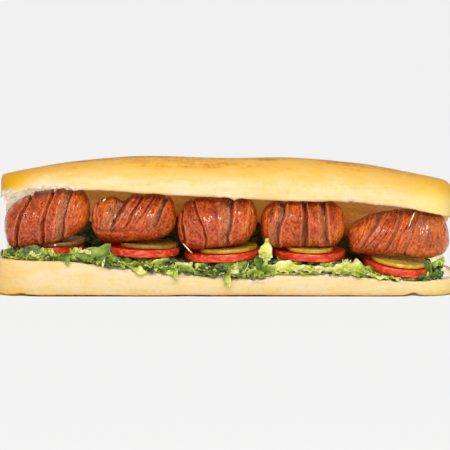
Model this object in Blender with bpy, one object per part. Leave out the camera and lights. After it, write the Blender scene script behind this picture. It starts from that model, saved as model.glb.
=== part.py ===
# A long soft roll, cut open along its front and through both ends and still hinged along its back,
# filled with shredded lettuce, tomato slices, pickle slices and five short scored sausages.
# Metres, +Z up. X runs along the roll, the open front faces -Y, and the roll rests on z = 0.

import math
import random

import bmesh
import bpy
import numpy as np
from mathutils.bvhtree import BVHTree

# Driving dimensions of the roll
ROLL_LEFT, ROLL_RIGHT = -0.156, 0.156
LID_LEFT, LID_RIGHT = -0.1480, 0.1510
ROLL_HALF_DEPTH = 0.035
END_PLAN_POWER, END_PLAN_ROOT = 18, 2.2
END_HEIGHT_POWER, END_HEIGHT_ROOT = 70, 2
HINGE_INNER_Y = 0.023
HINGE_LEFT, HINGE_RIGHT = -0.1470, 0.1480
HINGE_WALL = 0.0032
HINGE_ROOT = 0.010
HINGE_FILLET = 0.0045
HINGE_TUCK = 0.0028
LID_SLOPE = 0.25
LID_ARCH = 0.0068
ARCH_Y, ARCH_HALF_WIDTH = -0.014, 0.021
LID_CROWN_GAIN = 1.26

# Heights along the roll, as (x, z): the front edges of the cut, the crown, the back edge and the dish
BASE_LIP = [(-0.156, 0.0325), (-0.130, 0.0283), (-0.097, 0.0265), (-0.078, 0.0230), (-0.049, 0.0180),
            (-0.016, 0.0145), (0.008, 0.0130), (0.045, 0.0162), (0.078, 0.0158), (0.112, 0.0131),
            (0.132, 0.0137), (0.156, 0.0172)]
BASE_BACK = [(-0.156, 0.0270), (-0.050, 0.0215), (0.020, 0.0200), (0.070, 0.0180), (0.115, 0.0145),
             (0.156, 0.0150)]
BASE_DISH = [(-0.156, 0.0050), (-0.110, 0.0080), (-0.060, 0.0024), (0.010, 0.0012), (0.070, 0.0022),
             (0.115, 0.0058), (0.156, 0.0040)]
LID_LIP = [(-0.148, 0.0650), (-0.130, 0.0690), (-0.097, 0.0700), (-0.049, 0.0668), (0.000, 0.0642),
           (0.045, 0.0618), (0.085, 0.0612), (0.115, 0.0574), (0.151, 0.0487)]
LID_CROWN = [(-0.148, 0.0800), (-0.114, 0.0858), (-0.068, 0.0893), (0.000, 0.0880), (0.049, 0.0872),
             (0.090, 0.0842), (0.127, 0.0782), (0.151, 0.0735)]

# Thicknesses, and the space kept between neighbours
TOMATO_THICKNESS = 0.0050
PICKLE_THICKNESS = 0.0026
GAP = 0.0004
SLICE_MARGIN = 0.003
SEAT_PITCH = 0.03

# The five stacks: tomato centre and radius, height and side slope of its seat, pickle centre and radius
STACKS = [
    dict(x=-0.1145, y=-0.0070, radius=0.0214, height=0.0264, slope=0.05, pickle=(-0.1080, -0.0125, 0.0165)),
    dict(x=-0.0545, y=-0.0110, radius=0.0245, height=0.0256, slope=-0.06, pickle=(-0.0500, -0.0140, 0.0190)),
    dict(x=-0.0016, y=-0.0095, radius=0.0258, height=0.0228, slope=0.05, pickle=(0.0016, -0.0140, 0.0195)),
    dict(x=0.0555, y=-0.0105, radius=0.0244, height=0.0233, slope=-0.03, pickle=(0.0555, -0.0175, 0.0155)),
    dict(x=0.1145, y=-0.0130, radius=0.0228, height=0.0150, slope=-0.11, pickle=(0.1150, -0.0150, 0.0185)),
]

# The sausages. A cut is (x, lean, width, depth), where lean is the shift in x for each metre up.
SAUSAGES = [
    dict(left=-0.1430, right=-0.0880, y=-0.0185, z=0.0515, slope=0.09, radius=0.0172, growth=0.00,
         cuts=[(-0.1285, 0.32, 0.0034, 0.0036), (-0.1148, 0.22, 0.0034, 0.0036),
               (-0.1030, 0.10, 0.0054, 0.0046)]),
    dict(left=-0.0872, right=-0.0318, y=-0.0185, z=0.0484, slope=0.00, radius=0.0160, growth=0.03,
         cuts=[(-0.0815, 0.10, 0.0024, 0.0022), (-0.0722, 0.45, 0.0054, 0.0056),
               (-0.0572, 0.75, 0.0034, 0.0032), (-0.0446, 0.40, 0.0042, 0.0042)]),
    dict(left=-0.0310, right=0.0205, y=-0.0190, z=0.0462, slope=0.07, radius=0.0168, growth=0.00,
         cuts=[(-0.0262, -0.10, 0.0028, 0.0034), (-0.0130, -0.20, 0.0024, 0.0030),
               (0.0018, 0.26, 0.0060, 0.0048)]),
    dict(left=0.0232, right=0.0786, y=-0.0185, z=0.0460, slope=-0.02, radius=0.0164, growth=0.00,
         cuts=[(0.0336, 0.34, 0.0054, 0.0044), (0.0514, -0.05, 0.0050, 0.0052),
               (0.0644, -0.18, 0.0044, 0.0048)]),
    dict(left=0.0808, right=0.1458, y=-0.0190, z=0.0380, slope=-0.07, radius=0.0164, growth=0.08,
         cuts=[(0.0925, 0.55, 0.0034, 0.0024), (0.1018, 0.48, 0.0028, 0.0022),
               (0.1108, 0.40, 0.0030, 0.0026), (0.1215, 0.22, 0.0062, 0.0046)]),
]
CUT_FACING = math.radians(35)
CUT_REACH = math.radians(112)
SAUSAGE_RINGS = 25

# The lettuce: a bed under the slices, a ridge behind them and shreds along the front
BED_LEFT, BED_RIGHT = -0.1445, 0.1400
BED_FRONT_Y, BED_BACK_Y = -0.0300, 0.0195
BED_MARGIN = 0.006
RIDGE_Y = 0.0172
RIDGE = [(-0.1445, 0.0010), (-0.120, 0.0030), (-0.098, 0.0135), (0.080, 0.0140), (0.115, 0.0110),
         (0.140, 0.0030)]  # its height above the bed, along the roll
SHRED_THICKNESS = 0.0008
SHRED_COUNT = 44
SHRED_SEED = 11
SHRED_ROOT_Y, SHRED_SPAN = -0.0265, 0.008
SHRED_LIFT = 0.002


def smooth(points, at):
    """A smooth curve through a few (place, value) pairs, read at the places in at."""
    places, values = np.array(points, float).T
    slopes = np.gradient(values, places)
    index = np.clip(np.searchsorted(places, at) - 1, 0, len(places) - 2)
    step = places[index + 1] - places[index]
    u = np.clip((at - places[index]) / step, 0, 1)
    hold = (1 + 2 * u) * (1 - u) ** 2 * values[index] + u * u * (3 - 2 * u) * values[index + 1]
    lean = u * (1 - u) ** 2 * slopes[index] - u * u * (1 - u) * slopes[index + 1]
    return hold + lean * step


def eased(count):
    """Places from -1 to 1, closer together towards both ends."""
    return np.sin(np.linspace(-1, 1, count + 2)[1:-1] * math.pi / 2)


def end_round(t, power, root):
    """1 over the middle of a length that runs from -1 to 1, falling to 0 in a round end."""
    return (1 - np.abs(t) ** power) ** (1 / root)


def food_material(name, colour, roughness):
    material = bpy.data.materials.new(name)
    material.use_nodes = True
    shader = material.node_tree.nodes["Principled BSDF"]
    shader.inputs["Base Color"].default_value = (*colour, 1)
    shader.inputs["Roughness"].default_value = roughness
    shader.inputs["Metallic"].default_value = 0
    return material


def solid(name, rings, start, end, material):
    """A closed body from rings of points, drawn in to one point at each end."""
    count, around = rings.shape[:2]
    points = np.concatenate([rings.reshape(-1, 3), [start, end]])
    index = np.arange(count * around).reshape(count, around)
    ahead = np.roll(index, -1, axis=1)
    sides = np.stack([index[:-1], ahead[:-1], ahead[1:], index[1:]], axis=-1).reshape(-1, 4)
    first = np.stack([ahead[0], index[0], np.full(around, count * around)], axis=-1)
    last = np.stack([index[-1], ahead[-1], np.full(around, count * around + 1)], axis=-1)
    mesh = bpy.data.meshes.new(name)
    mesh.from_pydata(points.tolist(), [], sides.tolist() + first.tolist() + last.tolist())
    body = bmesh.new()
    body.from_mesh(mesh)
    bmesh.ops.triangulate(body, faces=body.faces)
    bmesh.ops.recalc_face_normals(body, faces=body.faces)
    body.to_mesh(mesh)
    body.free()
    mesh.shade_smooth()
    mesh.materials.append(material)
    made = bpy.data.objects.new(name, mesh)
    bpy.context.scene.collection.objects.link(made)
    return made


def roll_width(x, left, right):
    """How much of the full depth the roll has at x: 1 along the middle, 0 at its round ends."""
    t = np.clip((2 * x - left - right) / (right - left), -1, 1)
    return end_round(t, END_PLAN_POWER, END_PLAN_ROOT)


def shared_depth(x):
    """Half the depth at x of what the two halves of the roll have in common."""
    widths = roll_width(x, ROLL_LEFT, ROLL_RIGHT), roll_width(x, LID_LEFT, LID_RIGHT)
    return ROLL_HALF_DEPTH * np.minimum(*widths)


def base_cut(x, y):
    """Height of the lower cut face: a line from front edge to back edge, dished between them."""
    lip, back, dish = smooth(BASE_LIP, x), smooth(BASE_BACK, x), smooth(BASE_DISH, x)
    across = np.clip(y / ROLL_HALF_DEPTH, -1, 1)
    return lip + (back - lip) * (across + 1) / 2 - dish * (1 - np.abs(across) ** 6)


def lid_cut(x, y):
    """Height of the upper cut face: it falls towards the back, with an arch pressed in over the sausages."""
    arch = np.clip(1 - ((y - ARCH_Y) / ARCH_HALF_WIDTH) ** 2, 0, 1)
    return smooth(LID_LIP, x) - LID_SLOPE * (y + ROLL_HALF_DEPTH) + LID_ARCH * arch


def roll_half(name, left, right, cut, crust, fullness, material, stations=30, arc=13, face=11):
    """One half of the roll: a crust arc from the front edge to the back edge, closed by the cut face."""
    t = eased(stations)
    x = (left + right) / 2 + t * (right - left) / 2
    turn = np.linspace(0, math.pi, arc)
    cosine = np.cos(turn)
    arc_y = -np.sign(cosine) * np.abs(cosine) ** fullness
    depth = np.sin(turn) ** 0.78
    face_y = np.linspace(1, -1, face + 2)[1:-1]
    unit_y = np.concatenate([arc_y, face_y])
    bulge = np.concatenate([depth, np.zeros(face)])
    xs = np.repeat(x[:, None], len(unit_y), axis=1)
    ys = unit_y * ROLL_HALF_DEPTH * roll_width(xs, left, right)
    cut_z = cut(xs, ys)
    zs = np.where(bulge > 1e-9, crust(xs, ys, bulge, cut_z), cut_z)
    middle = zs.mean(axis=1, keepdims=True)
    height = end_round(t, END_HEIGHT_POWER, END_HEIGHT_ROOT)[:, None]
    zs = np.where(zs > 1e-9, middle + (zs - middle) * height, zs)
    rings = np.stack([xs, ys, zs], axis=-1)
    start = (left, 0, middle[0, 0])
    end = (right, 0, middle[-1, 0])
    return solid(name, rings, start, end, material)


def base_crust(x, y, bulge, cut_z):
    """The lower crust: round sides and a flat base at z = 0."""
    return np.maximum(cut_z * (1 - 1.25 * bulge), 0)


def lid_crust(x, y, bulge, cut_z):
    """The upper crust: a dome as high as the crown asks."""
    rise = (smooth(LID_CROWN, x) - smooth(LID_LIP, x)) * LID_CROWN_GAIN
    plane = smooth(LID_LIP, x) - LID_SLOPE * (y + ROLL_HALF_DEPTH)
    return plane + rise * bulge


def hinge(material, stations=16, levels=8):
    """The back of the roll that the cut left whole, stretched upright between the halves."""
    x = (HINGE_LEFT + HINGE_RIGHT) / 2 + eased(stations) * (HINGE_RIGHT - HINGE_LEFT) / 2
    up = np.linspace(0, 1, levels)
    xs = np.repeat(x[:, None], 2 * levels, axis=1)
    outer_y = shared_depth(x)
    low = base_cut(x, outer_y) - HINGE_ROOT
    high = lid_cut(x, outer_y) + HINGE_ROOT
    zs_up = low[:, None] + (high - low)[:, None] * up
    belly = np.sin(math.pi * up)
    outer = outer_y[:, None] - HINGE_TUCK * (1 - np.sqrt(belly))
    inner = HINGE_INNER_Y - HINGE_FILLET * (2 * up - 1) ** 4
    inner = np.minimum(np.repeat(inner[None, :], len(x), axis=0), outer - HINGE_WALL)
    ys = np.concatenate([outer, inner[:, ::-1]], axis=1)
    zs = np.concatenate([zs_up, zs_up[:, ::-1]], axis=1)
    rings = np.stack([xs, ys, zs], axis=-1)
    ends = rings[[0, -1]].mean(axis=1) + np.array([[-0.001, 0, 0], [0.001, 0, 0]])
    return solid("hinge", rings, ends[0], ends[1], material)


def join(name, base, others, solver="EXACT"):
    """Fuses the others into the base with one Boolean union, and removes them."""
    tools = bpy.data.collections.new(name + " pieces")
    bpy.context.scene.collection.children.link(tools)
    for other in others:
        bpy.context.scene.collection.objects.unlink(other)
        tools.objects.link(other)
    union = base.modifiers.new("union", "BOOLEAN")
    union.operation = "UNION"
    union.operand_type = "COLLECTION"
    union.collection = tools
    union.solver = solver
    bpy.context.view_layer.update()
    graph = bpy.context.evaluated_depsgraph_get()
    fused = bpy.data.meshes.new_from_object(base.evaluated_get(graph))
    base.modifiers.clear()
    base.data = fused
    base.name = name
    for other in others:
        bpy.data.objects.remove(other)
    bpy.data.collections.remove(tools)
    return base


def roll():
    crust = food_material("roll crust", (0.84, 0.60, 0.24), 0.65)
    base = roll_half("base", ROLL_LEFT, ROLL_RIGHT, base_cut, base_crust, 0.45, crust)
    lid = roll_half("lid", LID_LEFT, LID_RIGHT, lid_cut, lid_crust, 0.78, crust)
    return join("roll", base, [lid, hinge(crust)], "MANIFOLD")


def seat(stack, x, y):
    """Height of the sloping plane that a stack's tomato slice lies on."""
    return stack["height"] + stack["slope"] * (x - stack["x"]) + SEAT_PITCH * (y - stack["y"])


def slice_of(name, stack, centre, radius, lift, thickness, material, lobes, around):
    """A round slice lying parallel to its stack's seat, with a bulging rim that is a little uneven."""
    profile = [(0.55, 0.0), (0.95, 0.0), (1.0, 0.25), (1.0, 0.75), (0.95, 1.0), (0.55, 1.0)]
    turn = np.linspace(0, 2 * math.pi, around, endpoint=False)
    uneven = 1 + 0.018 * np.cos(lobes * turn + centre[0] * 90)
    rings = []
    for share, height in profile:
        x = centre[0] + radius * share * uneven * np.cos(turn)
        y = centre[1] + radius * share * uneven * np.sin(turn)
        rings.append(np.stack([x, y, seat(stack, x, y) + lift + thickness * height], axis=-1))
    low = (*centre, seat(stack, *centre) + lift)
    high = (*centre, seat(stack, *centre) + lift + thickness)
    return solid(name, np.array(rings), low, high, material)


def slices():
    red = food_material("tomato", (0.72, 0.05, 0.015), 0.3)
    olive = food_material("pickle", (0.36, 0.28, 0.06), 0.35)
    made = []
    for number, stack in enumerate(STACKS, 1):
        centre = (stack["x"], stack["y"])
        made.append(slice_of(f"tomato_{number}", stack, centre, stack["radius"], 0,
                             TOMATO_THICKNESS, red, 5, 26))
        *centre, radius = stack["pickle"]
        made.append(slice_of(f"pickle_{number}", stack, centre, radius, TOMATO_THICKNESS + GAP,
                             PICKLE_THICKNESS, olive, 3, 20))
    return made


def stack_top(stack, x, y):
    """Height that a sausage rests on: the pickle slice, the tomato slice beyond it, or the seat."""
    pickle_x, pickle_y, radius = stack["pickle"]
    on_pickle = np.hypot(x - pickle_x, y - pickle_y) < radius + SLICE_MARGIN
    on_tomato = np.hypot(x - stack["x"], y - stack["y"]) < stack["radius"] + SLICE_MARGIN
    thick = np.where(on_tomato, TOMATO_THICKNESS, 0)
    thick = np.where(on_pickle, TOMATO_THICKNESS + GAP + PICKLE_THICKNESS, thick)
    return seat(stack, x, y) + thick


def sausage_stations(sausage):
    """Places along a sausage: close together at its round ends, with one ring in the bed of each cut."""
    middle = (sausage["left"] + sausage["right"]) / 2
    half = (sausage["right"] - sausage["left"]) / 2
    places = eased(SAUSAGE_RINGS)
    for x, *_ in sausage["cuts"]:
        t = (x - middle) / half
        places[np.argmin(np.abs(places - t))] = t
    return places


def sausage_body(number, sausage, stack, material, around=18):
    """A plump sausage with slanting cuts that gape on its front and top."""
    t = sausage_stations(sausage)[:, None]
    middle = (sausage["left"] + sausage["right"]) / 2
    half = (sausage["right"] - sausage["left"]) / 2
    turn = np.linspace(0, 2 * math.pi, around, endpoint=False)[None, :]
    facing = np.abs((turn - CUT_FACING + math.pi) % (2 * math.pi) - math.pi)
    open_share = np.clip((CUT_REACH - facing) / math.radians(35), 0, 1)
    centre_x = middle + t * half
    width = end_round(t, 3.6, 2.1)
    radius = sausage["radius"] * (1 + sausage["growth"] * t) * width
    lean = smooth([(cut[0], cut[1]) for cut in sausage["cuts"]], centre_x) * end_round(t, 4, 1)
    for x, _, cut_width, depth in sausage["cuts"]:
        across = (centre_x - x) / cut_width
        radius = radius - depth * np.exp(-(across * 2.2) ** 2) * open_share
    up = radius * np.sin(turn)
    x = centre_x + lean * up
    y = sausage["y"] - radius * np.cos(turn)
    z = sausage["z"] + sausage["slope"] * (centre_x - middle) + up
    z = np.clip(z, stack_top(stack, x, y) + GAP, lid_cut(x, y) - GAP)
    rings = np.stack([x, y, z], axis=-1)
    height = [sausage["z"] + side * sausage["slope"] * half for side in (-1, 1)]
    start = (sausage["left"], sausage["y"], height[0])
    end = (sausage["right"], sausage["y"], height[1])
    return solid(f"sausage_{number}", rings, start, end, material)


def sausages():
    meat = food_material("sausage", (0.50, 0.12, 0.045), 0.35)
    pairs = zip(SAUSAGES, STACKS)
    return [sausage_body(number, sausage, stack, meat) for number, (sausage, stack) in enumerate(pairs, 1)]


def bed_top(x, y):
    """The lettuce under the slices: just below each seat near its slice, and between seats in between."""
    places = [(stack["x"], stack["height"]) for stack in STACKS]
    level = np.interp(x, *zip(*places))
    for stack in STACKS:
        near = np.hypot(x - stack["x"], y - stack["y"]) < stack["radius"] + 0.006
        level = np.where(near, np.minimum(level, seat(stack, x, y)), level)
    return level


def bed_room(x):
    """The share of its full depth that the bed keeps at x, so that it stays inside the roll's round ends."""
    return (shared_depth(x) - BED_MARGIN) / (ROLL_HALF_DEPTH - BED_MARGIN)


def lettuce_core(material, stations=34):
    """The packed lettuce: a bed on the lower cut face with a ridge along the back."""
    x = np.linspace(BED_LEFT, BED_RIGHT, stations)
    under_y = np.linspace(BED_FRONT_Y, BED_BACK_Y, 7)
    over_y = np.array([BED_BACK_Y, RIDGE_Y, 0.0165, 0.0, -0.015, BED_FRONT_Y])
    under_x, under = np.meshgrid(x, under_y, indexing="ij")
    over_x, over = np.meshgrid(x, over_y, indexing="ij")
    room = bed_room(x)[:, None]
    under, over = under * room, over * room
    under_z = base_cut(under_x, under) + 3 * GAP
    over_z = bed_top(over_x, over) - 2 * GAP
    behind = over >= RIDGE_Y * room
    wave = 0.9 + 0.1 * np.sin(over_x * 400)
    over_z = np.where(behind, over_z + smooth(RIDGE, over_x) * wave, over_z)
    over_z = np.maximum(over_z, base_cut(over_x, over) + 5 * GAP)
    rings = np.concatenate([np.stack([under_x, under, under_z], axis=-1),
                            np.stack([over_x, over, over_z], axis=-1)], axis=1)
    ends = rings[[0, -1]].mean(axis=1)
    return solid("core", rings, ends[0], ends[1], material)


def shred(spot, reach, lift, droop, drift, width, twist, material, segments=4):
    """One strip of leaf: it leaves its spot towards the front, arches over the edge, waves and twists."""
    u = np.linspace(0, 1, segments)
    path = np.stack([spot[0] + drift * u + 0.0012 * np.sin(5 * u + spot[0] * 900),
                     spot[1] - reach * np.sin(u * math.pi / 2),
                     spot[2] + lift * np.sin(math.pi * (0.3 * u + 0.7 * u * u)) - droop * u * u], axis=-1)
    along = np.gradient(path, axis=0)
    along /= np.linalg.norm(along, axis=1, keepdims=True)
    across = np.cross(along, [0, 0, 1.0])
    across /= np.linalg.norm(across, axis=1, keepdims=True)
    face = np.cross(across, along)
    angle = (twist * u)[:, None]
    side = across * np.cos(angle) + face * np.sin(angle)
    normal = face * np.cos(angle) - across * np.sin(angle)
    taper = (0.55 + 0.45 * np.sin(math.pi * (0.2 + 0.7 * u)))[:, None] * width / 2
    half = SHRED_THICKNESS / 2
    corners = [side * taper + normal * half, normal * half * 1.6, normal * half - side * taper,
               -normal * half - side * taper, -normal * half, -normal * half + side * taper]
    rings = path[:, None, :] + np.stack(corners, axis=1)
    return solid("shred", rings, path[0], path[-1] + along[-1] * 0.0004, material)


def tree_of(thing):
    return BVHTree.FromObject(thing, bpy.context.evaluated_depsgraph_get())


def lettuce(neighbours):
    """The lettuce heap: a core with shreds fused on, without those that would cross a neighbour."""
    green = food_material("lettuce", (0.30, 0.42, 0.08), 0.5)
    core = lettuce_core(green)
    bpy.context.view_layer.update()
    trees = [tree_of(thing) for thing in neighbours]
    draw = random.Random(SHRED_SEED)
    shreds = []
    for number in range(SHRED_COUNT):
        x = BED_LEFT + 0.006 + (BED_RIGHT - BED_LEFT - 0.012) * (number + draw.random()) / SHRED_COUNT
        root_y = SHRED_ROOT_Y * bed_room(x)
        low = float(base_cut(x, root_y)) + 4 * GAP
        high = float(bed_top(x, root_y)) - 4 * GAP
        edge = float(base_cut(x, root_y - SHRED_SPAN))
        for attempt in range(12):
            height = low + max(high - low, 0) * draw.random()
            reach = draw.uniform(0.008, 0.0115)
            droop = draw.uniform(0.0, 0.004) * (attempt < 6)
            lift = max(edge - height, 0) + SHRED_LIFT
            strip = shred((x, root_y, height), reach, lift, droop, draw.uniform(-0.012, 0.012),
                          draw.uniform(0.003, 0.0065), draw.uniform(-0.7, 0.7), green)
            bpy.context.view_layer.update()
            if not any(tree_of(strip).overlap(tree) for tree in trees):
                shreds.append(strip)
                break
            bpy.data.objects.remove(strip)
    return join("lettuce", core, shreds)


def main():
    for thing in list(bpy.data.objects):
        bpy.data.objects.remove(thing)
    bread = roll()
    fillings = slices() + sausages()
    lettuce([bread] + fillings)


main()
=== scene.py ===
import itertools
import math
import bpy
import numpy as np
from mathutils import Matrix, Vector


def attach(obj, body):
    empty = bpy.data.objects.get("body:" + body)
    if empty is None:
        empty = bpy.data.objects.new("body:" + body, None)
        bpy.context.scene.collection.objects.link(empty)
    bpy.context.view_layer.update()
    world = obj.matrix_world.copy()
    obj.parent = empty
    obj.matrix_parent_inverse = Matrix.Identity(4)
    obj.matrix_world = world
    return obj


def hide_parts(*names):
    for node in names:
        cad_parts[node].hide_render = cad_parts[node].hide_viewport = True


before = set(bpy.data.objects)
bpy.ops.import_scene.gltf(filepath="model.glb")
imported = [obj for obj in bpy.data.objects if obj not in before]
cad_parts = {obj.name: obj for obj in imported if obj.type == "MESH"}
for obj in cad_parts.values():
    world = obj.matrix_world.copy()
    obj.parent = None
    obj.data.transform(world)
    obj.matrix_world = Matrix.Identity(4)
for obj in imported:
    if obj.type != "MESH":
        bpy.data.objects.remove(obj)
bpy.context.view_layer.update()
print("frame loaded:", len(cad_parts), "nodes")

gap = 0.0004  # space kept between neighbours, metres


# Number helpers

# A smooth curve through (place, value) pairs: between two pairs the values blend by cubic weights.
def curveThrough(points, at):
    places, values = np.array(points, float).T
    slopes = np.gradient(values, places)
    index = np.clip(np.searchsorted(places, at) - 1, 0, len(places) - 2)
    step = places[index + 1] - places[index]
    u = np.clip((at - places[index]) / step, 0, 1)
    hold = (1 + 2 * u) * (1 - u) ** 2 * values[index] + u * u * (3 - 2 * u) * values[index + 1]
    lean = u * (1 - u) ** 2 * slopes[index] - u * u * (1 - u) * slopes[index + 1]
    return hold + lean * step


# 0 below low, 1 above high, and a soft step between them.
def softStep(low, high, value):
    u = np.clip((value - low) / (high - low), 0, 1)
    return u * u * (3 - 2 * u)


# The larger of value and floor, with a round corner of about the given size where they meet.
def softMax(value, floor, corner):
    over = value - floor
    return floor + (over + np.sqrt(over * over + corner * corner)) / 2


# 1 over the middle of a length from -1 to 1, falling to 0 in a round end.
def endRound(t, power, root):
    return (1 - np.clip(np.abs(t), 0, 1) ** power) ** (1 / root)


# Places from -1 to 1 that crowd towards both ends.
def easedPlaces(count):
    return np.sin(np.linspace(-1, 1, count + 2)[1:-1] * math.pi / 2)


# A fixed random number from 0 to 1 for each whole-number cell.
def cellNumber(cells, seed):
    mixed = cells[..., 0] * 73856093 ^ cells[..., 1] * 19349663 ^ cells[..., 2] * 83492791
    mixed = mixed ^ (seed + 7) * 2654435
    mixed = (mixed ^ (mixed >> 13)) & 0xffffffff
    mixed = (mixed * 1274126177) & 0xffffffff
    mixed = ((mixed ^ (mixed >> 16)) * 668265263) & 0xffffffff
    return (mixed ^ (mixed >> 15)) / 0xffffffff


# Smooth noise from -1 to 1: the cell numbers at a box's eight corners, blended by soft weights.
def noiseAt(points, size, seed=0):
    at = points / np.asarray(size)
    low = np.floor(at).astype(np.int64)
    part = at - low
    part = part * part * (3 - 2 * part)
    total = np.zeros(points.shape[:-1])
    for corner in itertools.product((0, 1), repeat=3):
        weight = np.prod(np.where(corner, part, 1 - part), axis=-1)
        total += weight * cellNumber(low + np.array(corner), seed)
    return total * 2 - 1


# Layers of that noise, each half the size and a little over half as strong as the one before.
def layeredNoise(points, size, layers, seed=0):
    total = sum(noiseAt(points, np.asarray(size) / 2 ** n, seed + 31 * n) * 0.55 ** n for n in range(layers))
    return total / sum(0.55 ** n for n in range(layers))


# Mesh helpers

# A mesh object from points and lists of corners, all faces smooth.
def meshObject(name, points, faceSets):
    corners = np.concatenate([faces.ravel() for faces in faceSets])
    sizes = np.concatenate([np.full(len(faces), faces.shape[1]) for faces in faceSets])
    mesh = bpy.data.meshes.new(name)
    mesh.vertices.add(len(points))
    mesh.vertices.foreach_set("co", np.ascontiguousarray(points, np.float32).ravel())
    mesh.loops.add(len(corners))
    mesh.loops.foreach_set("vertex_index", corners.astype(np.int32))
    mesh.polygons.add(len(sizes))
    mesh.polygons.foreach_set("loop_start", (np.cumsum(sizes) - sizes).astype(np.int32))
    mesh.update(calc_edges=True)
    mesh.validate()
    mesh.shade_smooth()
    made = bpy.data.objects.new(name, mesh)
    bpy.context.scene.collection.objects.link(made)
    return made


# Corner lists of a tube of rings: rings run along the first axis, points around along the second.
def tubeFaces(count, around):
    index = np.arange(count * around).reshape(count, around)
    ahead = np.roll(index, -1, axis=1)
    return np.stack([index[:-1], ahead[:-1], ahead[1:], index[1:]], axis=-1).reshape(-1, 4)


# The same, drawn to one point at each end. The two end points are numbered after the rings.
def closedFaces(count, around):
    index = np.arange(count * around).reshape(count, around)
    ahead = np.roll(index, -1, axis=1)
    first = np.stack([ahead[0], index[0], np.full(around, count * around)], axis=-1)
    last = np.stack([index[-1], ahead[-1], np.full(around, count * around + 1)], axis=-1)
    return tubeFaces(count, around), first, last


# A closed body from rings and its two end points, with its faces turned outwards.
def closedBody(name, rings, start, end):
    points = np.concatenate([rings.reshape(-1, 3), [start, end]])
    sides, first, last = closedFaces(*rings.shape[:2])
    a, b, c = (points[sides[:, n]] for n in range(3))
    middle = points.mean(axis=0)
    if np.einsum("ij,ij->", np.cross(b - a, c - a), a - middle) < 0:
        sides, first, last = sides[:, ::-1], first[:, ::-1], last[:, ::-1]
    return meshObject(name, points, [sides, first, last])


def setValues(thing, name, values):
    held = thing.data.attributes.new(name, "FLOAT", "POINT")
    held.data.foreach_set("value", np.ascontiguousarray(values, np.float32).ravel())


def vertexPoints(thing):
    flat = np.empty(len(thing.data.vertices) * 3, np.float32)
    thing.data.vertices.foreach_get("co", flat)
    return flat.reshape(-1, 3).astype(float)


def vertexNormals(thing):
    flat = np.empty(len(thing.data.vertices) * 3, np.float32)
    thing.data.vertex_normals.foreach_get("vector", flat)
    return flat.reshape(-1, 3).astype(float)


def movePoints(thing, points):
    thing.data.vertices.foreach_set("co", np.ascontiguousarray(points, np.float32).ravel())
    thing.data.update()


# Fuses closed bodies into the first one and removes the others.
def fuse(first, others):
    held = bpy.data.collections.new("fusing")
    bpy.context.scene.collection.children.link(held)
    for other in others:
        bpy.context.scene.collection.objects.unlink(other)
        held.objects.link(other)
    union = first.modifiers.new("union", "BOOLEAN")
    union.operation, union.solver = "UNION", "MANIFOLD"
    union.operand_type, union.collection = "COLLECTION", held
    graph = bpy.context.evaluated_depsgraph_get()
    fused = bpy.data.meshes.new_from_object(first.evaluated_get(graph))
    first.modifiers.clear()
    first.data = fused
    for other in others:
        bpy.data.objects.remove(other)
    bpy.data.collections.remove(held)
    fused.shade_smooth()


# Makes a finished piece part of the model: it rides on the body and stands for its nodes.
def settle(piece, material, slot, *nodes):
    piece.data.materials.clear()
    piece.data.materials.append(material)
    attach(piece, "root")
    if nodes:
        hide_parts(*nodes)


# Shader helpers

# A colour picked as 0 to 255 screen values, as the linear numbers that shaders use.
def paint(red, green, blue):
    share = np.array([red, green, blue]) / 255
    linear = np.where(share <= 0.04045, share / 12.92, ((share + 0.055) / 1.055) ** 2.4)
    return (*linear.tolist(), 1.0)


# Links sockets to the given ones, or gives them fixed values.
def feed(tree, sockets, inputs):
    for key, value in inputs.items():
        if isinstance(value, bpy.types.NodeSocket):
            tree.links.new(value, sockets[key])
        else:
            sockets[key].default_value = value


# Adds one shader node, sets its options and feeds its inputs.
def addNode(tree, kind, inputs, **options):
    made = tree.nodes.new(kind)
    for key, value in options.items():
        setattr(made, key, value)
    feed(tree, made.inputs, inputs)
    return made


def addMath(tree, operation, first, second=0.0, clamp=False):
    inputs = {0: first, 1: second}
    return addNode(tree, "ShaderNodeMath", inputs, operation=operation, use_clamp=clamp).outputs[0]


# A colour between two others: sockets 0, 6 and 7 are the share and the two colours.
def addMix(tree, share, first, second):
    return addNode(tree, "ShaderNodeMix", {0: share, 6: first, 7: second}, data_type="RGBA").outputs[2]


def addRamp(tree, value, stops):
    ramp = addNode(tree, "ShaderNodeValToRGB", {0: value})
    elements = ramp.color_ramp.elements
    while len(elements) < len(stops):
        elements.new(0.5)
    for element, (place, colour) in zip(elements, stops):
        element.position, element.color = place, colour
    return ramp.outputs[0]


def readValue(tree, name):
    return addNode(tree, "ShaderNodeAttribute", {}, attribute_name=name).outputs["Fac"]


# A stored value, spread so that low becomes 0 and high becomes 1.
def softRead(tree, name, low, high):
    inputs = {"Value": readValue(tree, name), "From Min": low, "From Max": high}
    return addNode(tree, "ShaderNodeMapRange", inputs, interpolation_type="SMOOTHSTEP").outputs["Result"]


# A value plus a share of a mask.
def addShare(tree, value, mask, share):
    return addMath(tree, "ADD", value, addMath(tree, "MULTIPLY", mask, share))


# A colour laid over another by a share of a mask. The mask is a stored value's name or a socket.
def layOver(tree, under, mask, share, colour):
    mask = readValue(tree, mask) if isinstance(mask, str) else mask
    return addMix(tree, addMath(tree, "MULTIPLY", mask, share), under, colour)


def objectPlace(tree):
    return addNode(tree, "ShaderNodeTexCoord", {}).outputs["Object"]


def newGroup(name, inputs, outputs):
    group = bpy.data.node_groups.new(name, "ShaderNodeTree")
    for label, kind, value in inputs:
        socket = group.interface.new_socket(label, in_out="INPUT", socket_type=kind)
        if value is not None:
            socket.default_value = value
    for label, kind in outputs:
        group.interface.new_socket(label, in_out="OUTPUT", socket_type=kind)
    return group, group.nodes.new("NodeGroupInput").outputs, group.nodes.new("NodeGroupOutput").inputs


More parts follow.
